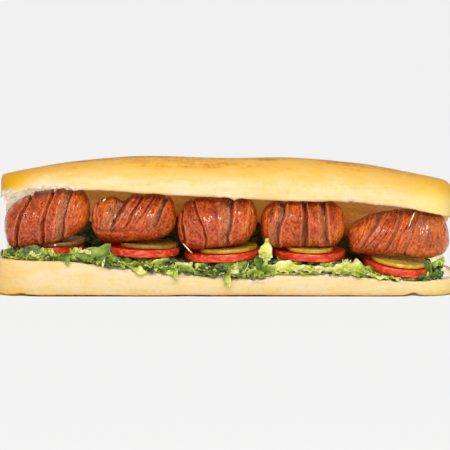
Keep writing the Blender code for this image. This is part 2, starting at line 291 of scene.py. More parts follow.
def placeGroup(tree, group, inputs):
    return addNode(tree, "ShaderNodeGroup", inputs, node_tree=group).outputs


# Blotches from 0 to 1: cloudy noise, spread between a low and a high value.
def blotchGroup():
    group, given, put = newGroup("blotches", [
        ("Vector", "NodeSocketVector", None), ("Scale", "NodeSocketFloat", 100.0),
        ("Low", "NodeSocketFloat", 0.35), ("High", "NodeSocketFloat", 0.65)], [("Amount", "NodeSocketFloat")])
    noise = addNode(group, "ShaderNodeTexNoise", {"Vector": given["Vector"], "Scale": given["Scale"],
                                                  "Detail": 4.0, "Roughness": 0.6})
    inputs = {"Value": noise.outputs["Fac"], "From Min": given["Low"], "From Max": given["High"]}
    spread = addNode(group, "ShaderNodeMapRange", inputs, interpolation_type="SMOOTHSTEP")
    group.links.new(spread.outputs["Result"], put["Amount"])
    return group


# Height of a grainy food surface: fine noise with small pits of a cell pattern taken out of it.
def grainGroup():
    group, given, put = newGroup("food grain", [
        ("Vector", "NodeSocketVector", None), ("Scale", "NodeSocketFloat", 600.0),
        ("Pits", "NodeSocketFloat", 0.5)], [("Height", "NodeSocketFloat"), ("Pit", "NodeSocketFloat")])
    noise = addNode(group, "ShaderNodeTexNoise", {"Vector": given["Vector"], "Scale": given["Scale"],
                                                  "Detail": 5.0, "Roughness": 0.65})
    cells = addNode(group, "ShaderNodeTexVoronoi", {"Vector": given["Vector"], "Scale": given["Scale"]},
                    feature="SMOOTH_F1")
    pits = {"Value": cells.outputs["Distance"], "From Min": 0.42, "From Max": 0.12}
    pit = addNode(group, "ShaderNodeMapRange", pits, interpolation_type="SMOOTHSTEP").outputs["Result"]
    deep = addMath(group, "MULTIPLY", pit, given["Pits"])
    group.links.new(addMath(group, "SUBTRACT", noise.outputs["Fac"], deep), put["Height"])
    group.links.new(pit, put["Pit"])
    return group


# A wet film: roughness that swings between dry and wet in patches, and a mask of the wet patches.
def filmGroup():
    group, given, put = newGroup("wet film", [
        ("Vector", "NodeSocketVector", None), ("Scale", "NodeSocketFloat", 200.0),
        ("Wet", "NodeSocketFloat", 0.15), ("Dry", "NodeSocketFloat", 0.45)],
        [("Roughness", "NodeSocketFloat"), ("Wetness", "NodeSocketFloat")])
    noise = addNode(group, "ShaderNodeTexNoise", {"Vector": given["Vector"], "Scale": given["Scale"],
                                                  "Detail": 3.0})
    wetness = addNode(group, "ShaderNodeMapRange", {"Value": noise.outputs["Fac"], "From Min": 0.38,
                                                    "From Max": 0.62}).outputs["Result"]
    rough = addNode(group, "ShaderNodeMapRange", {"Value": wetness, "To Min": given["Dry"],
                                                  "To Max": given["Wet"]}).outputs["Result"]
    group.links.new(rough, put["Roughness"])
    group.links.new(wetness, put["Wetness"])
    return group


blotches, foodGrain, wetFilm = blotchGroup(), grainGroup(), filmGroup()


def blotchMask(tree, at, scale, low, high):
    return placeGroup(tree, blotches, {"Vector": at, "Scale": scale, "Low": low, "High": high})["Amount"]


# Seeds from 0 to 1: round dots of a cell pattern, with a soft rim between the two distances.
def seedMask(tree, at, scale, rim, core):
    cells = addNode(tree, "ShaderNodeTexVoronoi", {"Vector": at, "Scale": scale}).outputs["Distance"]
    inputs = {"Value": cells, "From Min": rim, "From Max": core}
    return addNode(tree, "ShaderNodeMapRange", inputs).outputs["Result"]


# A place whose pattern comes out drawn longer along the axes with a small share.
def stretched(tree, at, shares):
    return addNode(tree, "ShaderNodeMapping", {"Vector": at, "Scale": shares}).outputs["Vector"]


def newMaterial(name):
    material = bpy.data.materials.new(name)
    material.use_nodes = True
    return material, material.node_tree, material.node_tree.nodes["Principled BSDF"]


def addBump(tree, shader, height, distance, strength):
    bump = addNode(tree, "ShaderNodeBump", {"Height": height, "Distance": distance, "Strength": strength})
    tree.links.new(bump.outputs["Normal"], shader.inputs["Normal"])


# The roll

roll = dict(
    left=-0.156, right=0.156, lidLeft=-0.148, lidRight=0.151, halfDepth=0.035,
    hingeLeft=-0.1470, hingeRight=0.1480, hingeWall=0.0032, hingeInner=0.023, hingeRoot=0.010,
    hingeFillet=0.0045, hingeTuck=0.0028,
    lidSlope=0.25, lidArch=0.0068, archY=-0.014, archHalfWidth=0.021, crownGain=1.33,
    baseFullness=0.45, lidFullness=0.78, baseBlunt=70, lidBlunt=700, rightBlunt=70,
    baseLip=[(-0.156, 0.0325), (-0.130, 0.0283), (-0.097, 0.0265), (-0.078, 0.0230), (-0.049, 0.0180),
             (-0.016, 0.0145), (0.008, 0.0130), (0.045, 0.0162), (0.078, 0.0158), (0.112, 0.0131),
             (0.132, 0.0137), (0.156, 0.0172)],
    baseBack=[(-0.156, 0.0270), (-0.050, 0.0215), (0.020, 0.0200), (0.070, 0.0180), (0.115, 0.0145),
              (0.156, 0.0150)],
    baseDish=[(-0.156, 0.0050), (-0.110, 0.0080), (-0.060, 0.0024), (0.010, 0.0012), (0.070, 0.0022),
              (0.115, 0.0058), (0.156, 0.0040)],
    lidLip=[(-0.148, 0.0650), (-0.130, 0.0690), (-0.097, 0.0700), (-0.049, 0.0668), (0.000, 0.0642),
            (0.045, 0.0618), (0.085, 0.0612), (0.115, 0.0574), (0.151, 0.0487)],
    lidCrown=[(-0.148, 0.0800), (-0.114, 0.0858), (-0.068, 0.0893), (0.000, 0.0880), (0.049, 0.0872),
              (0.090, 0.0840), (0.127, 0.0776), (0.151, 0.0724)],
    # How much the crumb inside is stained and painted in shade along x: pale at both open ends, where it
    # stands in the light, and brown between the sausages.
    crumbStain=[(-0.150, 0.00), (-0.118, 0.00), (-0.102, 0.50), (-0.086, 0.95), (0.085, 1.00), (0.105, 0.70),
                (0.122, 0.10), (0.150, 0.00)],
    # Torn places of the two edges, as (x, half width, strength).
    lidTears=[(-0.1060, 0.0130, 1.0), (0.0020, 0.0100, 0.8), (-0.1300, 0.0100, 0.4), (0.0880, 0.0140, 0.3)],
    baseTears=[(-0.0680, 0.0110, 0.8), (0.0160, 0.0140, 1.0), (0.0720, 0.0120, 0.6), (-0.0360, 0.0100, 0.5),
               (0.1080, 0.0100, 0.5)],
    # Notches along the foot, painted dark as shade inside them, as (x, half width, height).
    footNicks=[(-0.1330, 0.0042, 0.0012), (0.1225, 0.0036, 0.0022), (-0.0250, 0.0070, 0.0004)],
)
rollGrid = dict(stations=260, arc=84, face=40, easing=8, hingeStations=160, hingeLevels=40)


# Share of the full depth at x: 1 along the middle, 0 at the round ends.
def rollWidth(x, left, right):
    return endRound((2 * x - left - right) / (right - left), 18, 2.2)


# Half depth at x that both halves have in common.
def sharedDepth(x):
    return roll["halfDepth"] * np.minimum(rollWidth(x, roll["left"], roll["right"]),
                                          rollWidth(x, roll["lidLeft"], roll["lidRight"]))


# Lower cut face: a line from the front edge to the back edge, dished between them.
def baseCut(x, y):
    lip, back, dish = (curveThrough(roll[key], x) for key in ("baseLip", "baseBack", "baseDish"))
    across = np.clip(y / roll["halfDepth"], -1, 1)
    return lip + (back - lip) * (across + 1) / 2 - dish * (1 - np.abs(across) ** 6)


# Upper cut face: it falls towards the back, with an arch pressed in over the sausages.
def lidCut(x, y):
    arch = np.clip(1 - ((y - roll["archY"]) / roll["archHalfWidth"]) ** 2, 0, 1)
    plane = curveThrough(roll["lidLip"], x) - roll["lidSlope"] * (y + roll["halfDepth"])
    return plane + roll["lidArch"] * arch


# Lower crust: round sides down to a flat base.
def baseCrust(x, y, bulge, cutZ):
    return np.maximum(cutZ * (1 - 1.25 * bulge), 0)


# Upper crust: a dome as high as the crown asks.
def lidCrust(x, y, bulge, cutZ):
    rise = (curveThrough(roll["lidCrown"], x) - curveThrough(roll["lidLip"], x)) * roll["crownGain"]
    return curveThrough(roll["lidLip"], x) - roll["lidSlope"] * (y + roll["halfDepth"]) + rise * bulge


# One half: each ring is a crust arc y = -cos^fullness, bulge = sin^0.78, closed by the cut face. Towards
# the ends its height closes in on its middle by a round end with the given bluntness.
def rollHalf(name, left, right, cut, crust, fullness, leftBlunt):
    arc, face = rollGrid["arc"], rollGrid["face"]
    t = easedPlaces(rollGrid["stations"])
    x = (left + right) / 2 + t * (right - left) / 2
    turn = np.linspace(0, math.pi, arc)
    turn = turn - 0.18 * np.sin(2 * turn)  # more points by the two edges
    cosine = np.cos(turn)
    arcY = -np.sign(cosine) * np.abs(cosine) ** fullness
    unitY = np.concatenate([arcY, np.linspace(1, -1, face + 2)[1:-1]])
    bulge = np.concatenate([np.abs(np.sin(turn)) ** 0.78, np.zeros(face)])
    xs = np.repeat(x[:, None], len(unitY), axis=1)
    ys = unitY * roll["halfDepth"] * rollWidth(xs, left, right)
    cutZ = cut(xs, ys)
    zs = np.where(bulge > 1e-6, crust(xs, ys, bulge, cutZ), cutZ)
    middle = (zs[:, arc // 2] + zs[:, arc + face // 2])[:, None] / 2
    height = np.where(t < 0, endRound(t, leftBlunt, 2), endRound(t, roll["rightBlunt"], 2))[:, None]
    zs = np.where(zs > 1e-9, middle + (zs - middle) * height, zs)
    rings = np.stack([xs, ys, zs], axis=-1)
    around = len(unitY)
    edge = np.zeros(around)  # the two edges are eased by averaging each point with its neighbours
    for place in (0, arc - 1):
        off = np.abs(np.arange(around) - place)
        edge += np.exp(-(np.minimum(off, around - off) / 3.0) ** 2)
    edge = np.clip(edge, 0, 1)[None, :, None]
    for _ in range(rollGrid["easing"]):
        beside = (np.roll(rings, 1, axis=1) + np.roll(rings, -1, axis=1)) / 2
        rings = rings + (beside - rings) * edge * 0.6
    return closedBody(name, rings, (left, 0, middle[0, 0]), (right, 0, middle[-1, 0]))


# The uncut back: an upright wall between the halves, tucked into both at its roots.
def rollHinge():
    half = (roll["hingeRight"] - roll["hingeLeft"]) / 2
    x = roll["hingeLeft"] + half + easedPlaces(rollGrid["hingeStations"]) * half
    up = np.linspace(0, 1, rollGrid["hingeLevels"])
    outerY = sharedDepth(x)
    low = baseCut(x, outerY) - roll["hingeRoot"]
    high = lidCut(x, outerY) + roll["hingeRoot"]
    zs = low[:, None] + (high - low)[:, None] * up
    outer = outerY[:, None] - roll["hingeTuck"] * (1 - np.sqrt(np.sin(math.pi * up).clip(0)))
    inner = roll["hingeInner"] - roll["hingeFillet"] * (2 * up - 1) ** 4
    inner = np.minimum(np.repeat(inner[None, :], len(x), axis=0), outer - roll["hingeWall"])
    between = (outer + inner) / 2
    ys = np.concatenate([outer, between[:, -1:], inner[:, ::-1], between[:, :1]], axis=1)
    zs = np.concatenate([zs, zs[:, -1:], zs[:, ::-1], zs[:, :1]], axis=1)
    rings = np.stack([np.repeat(x[:, None], ys.shape[1], axis=1), ys, zs], axis=-1)
    ends = rings[[0, -1]].mean(axis=1) + np.array([[-0.0010, 0, 0], [0.0010, 0, 0]])
    return closedBody("hinge", rings, ends[0], ends[1])


# How torn an edge is at x: each tear counts exp(-((x - place) / width)^4).
def tornShare(tears, x):
    shares = (strength * np.exp(-((x - place) / reach) ** 4) for place, reach, strength in tears)
    return np.clip(sum(shares), 0, 1)


# How brown the crust is. The upper half browns with its climb from lip to crown, and the back of both is
# evenly brown. The lower one browns towards its foot, where a dark line is browned edge and painted contact
# shadow, and in the notches there the dark is painted shade.
def bakeShare(points, lid, climb, leftEnd, rightEnd, cloud, nick):
    y, z = points[:, 1], points[:, 2]
    streaks = layeredNoise(points, (0.030, 0.0022, 0.0022), 2, 14)
    onLid = (0.12 + 0.44 * softStep(0.26, 1.0, climb) + 0.10 * softStep(1.04, 1.15, climb) + 0.11 * cloud
             + 0.07 * streaks - 0.10 * rightEnd)
    # A dark foot line: browned edge and painted contact shadow, raised into the notches as painted shade.
    foot = 1 - softStep(0.0009 + nick, 0.0019 + nick, z)
    onBase = (0.12 + 0.10 * leftEnd + 0.02 * rightEnd + 0.06 * cloud + 0.04 * streaks + 0.90 * foot
              + 0.10 * (1 - softStep(0.001, 0.009, z)))
    bake = np.where(lid, onLid * (1 - 0.35 * leftEnd), onBase)
    bake = bake + (0.52 + 0.10 * cloud - bake) * softStep(-0.010, 0.016, y) * np.where(lid, 1, 0)
    bake = np.where(~lid & (y > 0), np.maximum(bake, (0.55 + 0.1 * cloud) * softStep(0.0, 0.02, y)), bake)
    return np.clip(bake, 0, 1)


# How near each point is to the front edge of the upper and of the lower half, from 0 to 1.
def edgeShares(points, depth):
    x, y, z = points.T
    front = np.exp(-((y + depth) / 0.010) ** 2)
    return (np.exp(-((z - curveThrough(roll["lidLip"], x)) / 0.0034) ** 2) * front,
            np.exp(-((z - curveThrough(roll["baseLip"], x)) / 0.0024) ** 2) * front)


# Relief: a slow swell and a fine skin on the crust, pores on the crumb, shreds on torn edges, a little
# up and down along both edges, and the creases between back wall and halves filled up to the outer line.
def rollRelief(points, normals, low, high, depth, crumb, torn, nearLid, nearBase, nick):
    x, y, z = points.T
    swell = 0.0005 * layeredNoise(points, (0.050, 0.022, 0.022), 2, 3)
    skin = 0.00016 * layeredNoise(points, (0.012, 0.0035, 0.0035), 3, 21)
    pores = -0.0010 * softStep(0.05, 0.6, noiseAt(points, 0.0045, 8)) + 0.0004 * noiseAt(points, 0.0022, 9)
    push = (swell + skin) * (1 - crumb) + pores * crumb * (np.abs(normals[:, 2]) * 0.6 + 0.4)
    push = push + torn * (0.0022 * noiseAt(points, 0.0022, 33) + 0.0004)
    lift = 0.0005 * noiseAt(points * [1, 0, 0], 0.011, 41) * nearLid
    lift = lift + 0.0004 * noiseAt(points * [1, 0, 0], 0.009, 43) * nearBase
    lift = lift + 0.3 * nick * np.exp(-(z / 0.002) ** 2) * (y < -0.020)
    backCrease = np.exp(-((z - low) / 0.0050) ** 4) + np.exp(-((z - high) / 0.0050) ** 4)
    backCrease = np.clip(backCrease, 0, 1) * softStep(0.80, 0.90, y / np.maximum(depth, 0.001))
    within = softStep(-0.150, -0.144, x), softStep(0.151, 0.145, x)
    fill = np.maximum(depth - 0.0002 - y, 0) * backCrease * within[0] * within[1]
    points = points + normals * (push * softStep(0.0, 0.0016, z))[:, None]
    points[:, 1] += fill
    points[:, 2] = np.maximum(points[:, 2] + lift, 0)
    return points


# Relief and masks of the roll, read from where each point lies: crumb is 1 on the cut faces and on the inside
# of the back, torn is 1 on ragged pale edges, one mask is how brown the crust is, with painted contact shadow
# along the foot and painted shade in its notches, two more darken the crumb inside, by juice staining and
# painted shade along x and by painted shade deep in the mouth, ceiling gives the crumb right under the lid
# another tone, inside marks where the crumb gives off painted light, and butter and glaze turn the ends of
# the crust yellow.
def finishRoll(bread):
    points, normals = vertexPoints(bread), vertexNormals(bread)
    x, y, z = points.T
    low, high, depth = baseCut(x, y), lidCut(x, y), sharedDepth(x)
    mouth = np.minimum(z - low, high - z)
    outside = softStep(-0.0026, -0.0014, y - depth)
    crumb = softStep(-0.0011, -0.0002, mouth + 0.0005 * noiseAt(points, 0.004, 5)) * (1 - outside)
    lid = z > (low + high) / 2
    lip, crown = curveThrough(roll["lidLip"], x), curveThrough(roll["lidCrown"], x)
    climb = np.clip((z - lip + roll["lidSlope"] * (y + roll["halfDepth"]) * 0.5) / (crown - lip), 0, 1.3)
    leftEnd, rightEnd = softStep(-0.118, -0.146, x), softStep(0.108, 0.146, x)
    cloud = layeredNoise(points, (0.040, 0.010, 0.010), 3, 11)
    nick = sum(height * np.exp(-((x - centre) / reach) ** 2) for centre, reach, height in roll["footNicks"])
    nearLid, nearBase = edgeShares(points, depth)
    ragged = softStep(-0.6, 0.3, noiseAt(points, (0.0030, 0.004, 0.0022), 31))
    torn = np.maximum(nearLid * tornShare(roll["lidTears"], x), nearBase * tornShare(roll["baseTears"], x))
    torn = np.clip(torn * 2.2, 0, 1) * ragged
    movePoints(bread, rollRelief(points, normals, low, high, depth, crumb, torn, nearLid, nearBase, nick))
    height = (z - high + 0.022) / 0.022  # 1 right under the lid
    # Juice staining and painted shade of the crumb along x.
    stain = curveThrough(roll["crumbStain"], x) * (1 + 0.15 * cloud)
    # At the front rim the staining and painted shade fall away.
    clean = np.exp(-((y + depth) / np.where(lid, 0.010, 0.018)) ** 2)  # the base's front rim stays pale
    # Painted shade deep in the gap between the halves, away from the lid.
    gloom = softStep(0.98, 0.10, height) * softStep(-0.100, -0.070, x) * softStep(0.140, 0.120, x)
    butter = np.where(lid, 0.65 * (1 - softStep(0.6, 1.1, climb)), 0.30) * rightEnd
    glazed = softStep(-0.114, -0.137, x) * softStep(0.02, 0.5, climb)
    glaze = np.where(lid, glazed + 0.7 * rightEnd * softStep(0.55, 0.95, climb), 0.0)
    for name, values in (
            ("crumb", crumb), ("torn", torn),
            ("bake", bakeShare(points, lid, climb, leftEnd, rightEnd, cloud, nick)),
            ("stain", np.clip(stain * (1 - np.where(lid, 0.8, 0.95) * clean), 0, 1)),
            ("inside", crumb * softStep(0.0005, 0.012, y + depth)),
            ("gloom", gloom * softStep(0.006, 0.016, y + depth)),
            ("ceiling", softStep(0.70, 1.10, height) * softStep(-0.105, -0.090, x)),
            ("butter", butter * (1 - crumb)),
            ("glaze", np.clip(glaze * (1 - crumb) + 0.25 * leftEnd * ~lid, 0, 1))):
        setValues(bread, name, values)


# Crust by how brown it is, with a dark foot line of painted contact shadow; crumb by its staining and painted
# shade, another tone under the lid and painted shade deep in the mouth and in its pores; and torn edges over
# both. The crumb inside gives off a little light of its own colour: painted light, because the gap between
# the halves is deep and light is lost in it.
def breadMaterial():
    material, tree, shader = newMaterial("baked crust and crumb")
    at = objectPlace(tree)
    fine, broad = blotchMask(tree, at, 420.0, 0.3, 0.7), blotchMask(tree, at, 70.0, 0.3, 0.7)
    streaks = blotchMask(tree, stretched(tree, at, (0.16, 1.0, 1.0)), 330.0, 0.3, 0.7)
    level = readValue(tree, "bake")
    for mask, share in ((fine, 0.12), (streaks, 0.14), (broad, 0.10)):
        level = addShare(tree, level, mask, share)
    level = addMath(tree, "SUBTRACT", level, 0.18, clamp=True)
    crust = addRamp(tree, level, [
        (0.00, paint(222, 200, 160)), (0.14, paint(220, 195, 142)), (0.34, paint(222, 181, 100)),
        (0.58, paint(226, 170, 68)), (0.80, paint(192, 118, 40)), (1.00, paint(52, 24, 6))])
    crust = layOver(tree, crust, "butter", 1.0, paint(234, 206, 96))
    crust = layOver(tree, crust, "glaze", 1.0, paint(226, 164, 2))
    # Its pit mask paints shade into the crumb's pores, in the colour and in the glow.
    grain = placeGroup(tree, foodGrain, {"Vector": at, "Scale": 380.0, "Pits": 0.9})
    # The crumb goes from pale to orange brown by its staining and painted shade.
    crumbColour = addMix(tree, readValue(tree, "stain"), paint(236, 226, 198), paint(226, 140, 48))
    # Over the crumb: another tone right under the lid, and painted shade deep in the mouth and in the pores.
    for mask, share, colour in (("ceiling", 1.0, (214, 158, 84)), ("gloom", 1.0, (130, 66, 20)),
                                (grain["Pit"], 0.20, (170, 120, 66))):
        crumbColour = layOver(tree, crumbColour, mask, share, paint(*colour))
    crumb = readValue(tree, "crumb")
    colour = addMix(tree, crumb, crust, crumbColour)
    tornColour = addMix(tree, fine, paint(232, 220, 204), paint(186, 156, 132))
    colour = addMix(tree, readValue(tree, "torn"), colour, tornColour)
    tree.links.new(colour, shader.inputs["Base Color"])
    # The colour of the crumb's painted light, dimmer deep in the mouth and in the pores.
    soaked = addMix(tree, readValue(tree, "stain"), paint(180, 175, 158), paint(130, 64, 12))
    for mask, share, colour in (("ceiling", 1.0, (136, 90, 36)), (broad, 0.40, (96, 56, 18)),
                                ("gloom", 1.0, (34, 14, 4)), (grain["Pit"], 0.25, (80, 44, 16))):
        soaked = layOver(tree, soaked, mask, share, paint(*colour))
    glow = addMix(tree, readValue(tree, "inside"), paint(0, 0, 0), soaked)
    tree.links.new(glow, shader.inputs["Emission Color"])
    shader.inputs["Emission Strength"].default_value = 1.0
    rough = addNode(tree, "ShaderNodeMapRange", {"Value": crumb, "To Min": 0.55, "To Max": 0.9})
    tree.links.new(rough.outputs["Result"], shader.inputs["Roughness"])
    shader.inputs["Specular IOR Level"].default_value = 0.16
    crustGrain = placeGroup(tree, foodGrain, {"Vector": at, "Scale": 900.0, "Pits": 0.15})["Height"]
    height = addNode(tree, "ShaderNodeMix", {0: crumb, 2: addMath(tree, "MULTIPLY", crustGrain, 0.22),
                                             3: grain["Height"]}).outputs[0]
    addBump(tree, shader, height, 0.0009, 0.8)
    return material


def makeRoll():
    base = rollHalf("bread", roll["left"], roll["right"], baseCut, baseCrust, roll["baseFullness"],
                    roll["baseBlunt"])
    lid = rollHalf("lid", roll["lidLeft"], roll["lidRight"], lidCut, lidCrust, roll["lidFullness"],
                   roll["lidBlunt"])
    fuse(base, [lid, rollHinge()])
    finishRoll(base)
    settle(base, breadMaterial(), "roll", "roll")
    print("roll:", len(base.data.polygons), "faces")


# Tomato and pickle slices

slices = dict(tomatoThickness=0.0050, pickleThickness=0.0026, margin=0.003, rimStart=0.955, gelDepth=0.00035,
              crinkleDepth=0.00016, crinklePitch=0.0026, tomatoLobes=5, pickleLobes=3, around=120)

# Each tomato slice, left to right, with the height and the slopes of the plane it lies on, and on it a pickle
# slice as (x, y, radius). The last value is painted shade: how far the pickle is darkened to brown where it
# lies in shadow under its sausage.
stacks = [
    dict(x=-0.1145, y=-0.0070, radius=0.0214, height=0.0264, slope=0.05, pitch=-0.04,
         pickle=(-0.1080, -0.0125, 0.0165), dull=1.0),
    dict(x=-0.0545, y=-0.0110, radius=0.0245, height=0.0256, slope=-0.03, pitch=-0.06,
         pickle=(-0.0500, -0.0140, 0.0190), dull=0.8),
    dict(x=-0.0016, y=-0.0095, radius=0.0258, height=0.0228, slope=0.05, pitch=-0.04,
         pickle=(0.0016, -0.0140, 0.0195), dull=0.4),
    dict(x=0.0555, y=-0.0105, radius=0.0244, height=0.0233, slope=-0.03, pitch=-0.03,
         pickle=(0.0555, -0.0175, 0.0155), dull=0.25),
    dict(x=0.1145, y=-0.0130, radius=0.0228, height=0.0150, slope=-0.11, pitch=0.03,
         pickle=(0.1150, -0.0150, 0.0185), dull=0.0),
]


# The sloping plane that a stack's tomato slice lies on.
def seatHeight(stack, x, y):
    return stack["height"] + stack["slope"] * (x - stack["x"]) + stack["pitch"] * (y - stack["y"])


# A slice: a profile from the middle of its underside, round its bulging rim, to the middle of its top,
# turned about its centre. Its rim is a little uneven, and its faces carry the given relief.
def sliceBody(name, stack, centre, radius, lift, thickness, lobes, relief, around):
    rimStart = slices["rimStart"]
    flat = np.linspace(0.04, rimStart, 22)
    rim = np.linspace(-math.pi / 2, math.pi / 2, 15)
    barrel = np.sign(np.sin(rim)) * np.abs(np.sin(rim)) ** 1.4
    share = np.concatenate([flat, rimStart + 0.045 * np.cos(rim) ** 0.45, flat[::-1]])
    height = np.concatenate([0 * flat, 0.5 + 0.5 * barrel, 0 * flat + 1])
    side = np.concatenate([0 * flat - 1, barrel, 0 * flat + 1])
    turn = np.linspace(0, 2 * math.pi, around, endpoint=False)
    uneven = 1 + 0.018 * np.cos(lobes * turn + centre[0] * 90)
    flatX = share[:, None] * uneven * np.cos(turn)
    flatY = share[:, None] * uneven * np.sin(turn)
    x, y = centre[0] + radius * flatX, centre[1] + radius * flatY
    inward = softStep(0.0, 0.05, rimStart - share)[:, None]
    z = seatHeight(stack, x, y) + lift + thickness * height[:, None]
    z = z - side[:, None] * relief(flatX * radius, flatY * radius) * inward
    rings = np.stack([x, y, z], axis=-1)
    low, high = rings[0].mean(axis=0), rings[-1].mean(axis=0)
    body = closedBody(name, rings, low, high)
    spread = np.stack([flatX, flatY], axis=-1).reshape(-1, 2)
    spread = np.concatenate([spread, np.zeros((2, 2))])
    return body, spread, np.concatenate([np.repeat(share, around), [0, 0]])


# Seed chambers of a tomato slice: lobes between walls that run out from the core.
def chamberMask(spread, turned):
    out = np.hypot(*spread.T)
    angle = np.arctan2(spread[:, 1], spread[:, 0]) + turned
    lobe = np.abs(np.sin(angle * 2.5))
    return softStep(0.35, 0.7, lobe) * softStep(0.24, 0.38, out) * (1 - softStep(0.66, 0.78, out))


def tomatoMaterial():
    material, tree, shader = newMaterial("tomato flesh and skin")
    at = objectPlace(tree)
    mottle = blotchMask(tree, at, 260.0, 0.3, 0.75)
    flesh = addMix(tree, mottle, paint(222, 48, 12), paint(206, 30, 6))
    gel = addMix(tree, mottle, paint(212, 84, 26), paint(196, 56, 14))
    flesh = addMix(tree, readValue(tree, "gel"), flesh, gel)
    seed = addMath(tree, "MULTIPLY", seedMask(tree, at, 330.0, 0.34, 0.24), readValue(tree, "gel"))
    flesh = addMix(tree, seed, flesh, paint(236, 190, 110))
    skin = addMix(tree, mottle, paint(212, 54, 16), paint(184, 22, 4))
    # Pale pinkish streaks on the skin are painted highlights.
    lines = blotchMask(tree, stretched(tree, at, (0.22, 1.0, 1.0)), 620.0, 0.46, 0.66)
    skin = layOver(tree, skin, lines, 0.50, paint(234, 136, 96))
    tree.links.new(addMix(tree, readValue(tree, "skin"), flesh, skin), shader.inputs["Base Color"])
    film = placeGroup(tree, wetFilm, {"Vector": at, "Scale": 240.0, "Wet": 0.06, "Dry": 0.24})
    tree.links.new(film["Roughness"], shader.inputs["Roughness"])
    shader.inputs["Specular IOR Level"].default_value = 0.32
    grain = placeGroup(tree, foodGrain, {"Vector": at, "Scale": 420.0, "Pits": 0.2})["Height"]
    addBump(tree, shader, grain, 0.0003, 0.5)
    return material


def pickleMaterial():
    material, tree, shader = newMaterial("pickle flesh and skin")
    at = objectPlace(tree)
    mottle = blotchMask(tree, at, 320.0, 0.3, 0.75)
    flesh = addMix(tree, mottle, paint(226, 188, 66), paint(190, 150, 40))
    seed = addMath(tree, "MULTIPLY", seedMask(tree, at, 420.0, 0.32, 0.2), readValue(tree, "gel"))
    flesh = addMix(tree, seed, flesh, paint(222, 206, 140))
    skin = addMix(tree, mottle, paint(216, 178, 52), paint(168, 128, 28))
    colour = addMix(tree, readValue(tree, "skin"), flesh, skin)
    # Painted shade: the pickle darkened to brown where it lies in shadow.
    brown = addMix(tree, mottle, paint(134, 90, 32), paint(92, 58, 18))
    colour = addMix(tree, readValue(tree, "dull"), colour, brown)
    tree.links.new(colour, shader.inputs["Base Color"])
    film = placeGroup(tree, wetFilm, {"Vector": at, "Scale": 260.0, "Wet": 0.16, "Dry": 0.36})
    tree.links.new(film["Roughness"], shader.inputs["Roughness"])
    shader.inputs["Specular IOR Level"].default_value = 0.35
    grain = placeGroup(tree, foodGrain, {"Vector": at, "Scale": 700.0, "Pits": 0.3})["Height"]
    addBump(tree, shader, grain, 0.0003, 0.6)
    return material


def makeSlices():
    tomatoLook, pickleLook = tomatoMaterial(), pickleMaterial()
    for number, stack in enumerate(stacks, 1):
        turned = stack["x"] * 70  # every slice is turned by another angle

        def sunk(x, y):  # the chambers' gel sits a little lower than the walls
            spread = np.stack([x.ravel(), y.ravel()], axis=-1) / stack["radius"]
            return slices["gelDepth"] * chamberMask(spread, turned).reshape(x.shape)

        centre, radius = (stack["x"], stack["y"]), stack["radius"]
        body, spread, share = sliceBody(f"tomatoSlice{number}", stack, centre, radius, 0,
                                        slices["tomatoThickness"], slices["tomatoLobes"], sunk,
                                        slices["around"])
        setValues(body, "gel", chamberMask(spread, turned))
        setValues(body, "skin", softStep(0.955, 0.975, share))
        settle(body, tomatoLook, "tomato", f"tomato_{number}")

        def crinkled(x, y):  # even waves of a crinkle cut, pressed into both faces
            along = x * math.cos(turned) + y * math.sin(turned)
            return slices["crinkleDepth"] * (1 + np.sin(along * 2 * math.pi / slices["crinklePitch"]))

        *centre, radius = stack["pickle"]
        body, spread, share = sliceBody(f"pickleSlice{number}", stack, centre, radius,
                                        slices["tomatoThickness"] + gap, slices["pickleThickness"],
                                        slices["pickleLobes"], crinkled, slices["around"] - 10)
        out = np.hypot(*spread.T)
        setValues(body, "gel", softStep(0.2, 0.32, out) * (1 - softStep(0.62, 0.74, out)))
        setValues(body, "skin", softStep(0.955, 0.985, share))
        setValues(body, "dull", np.full(len(share), stack["dull"]))
        settle(body, pickleLook, "pickle", f"pickle_{number}")
    print("slices:", 2 * len(stacks))


# The sausages

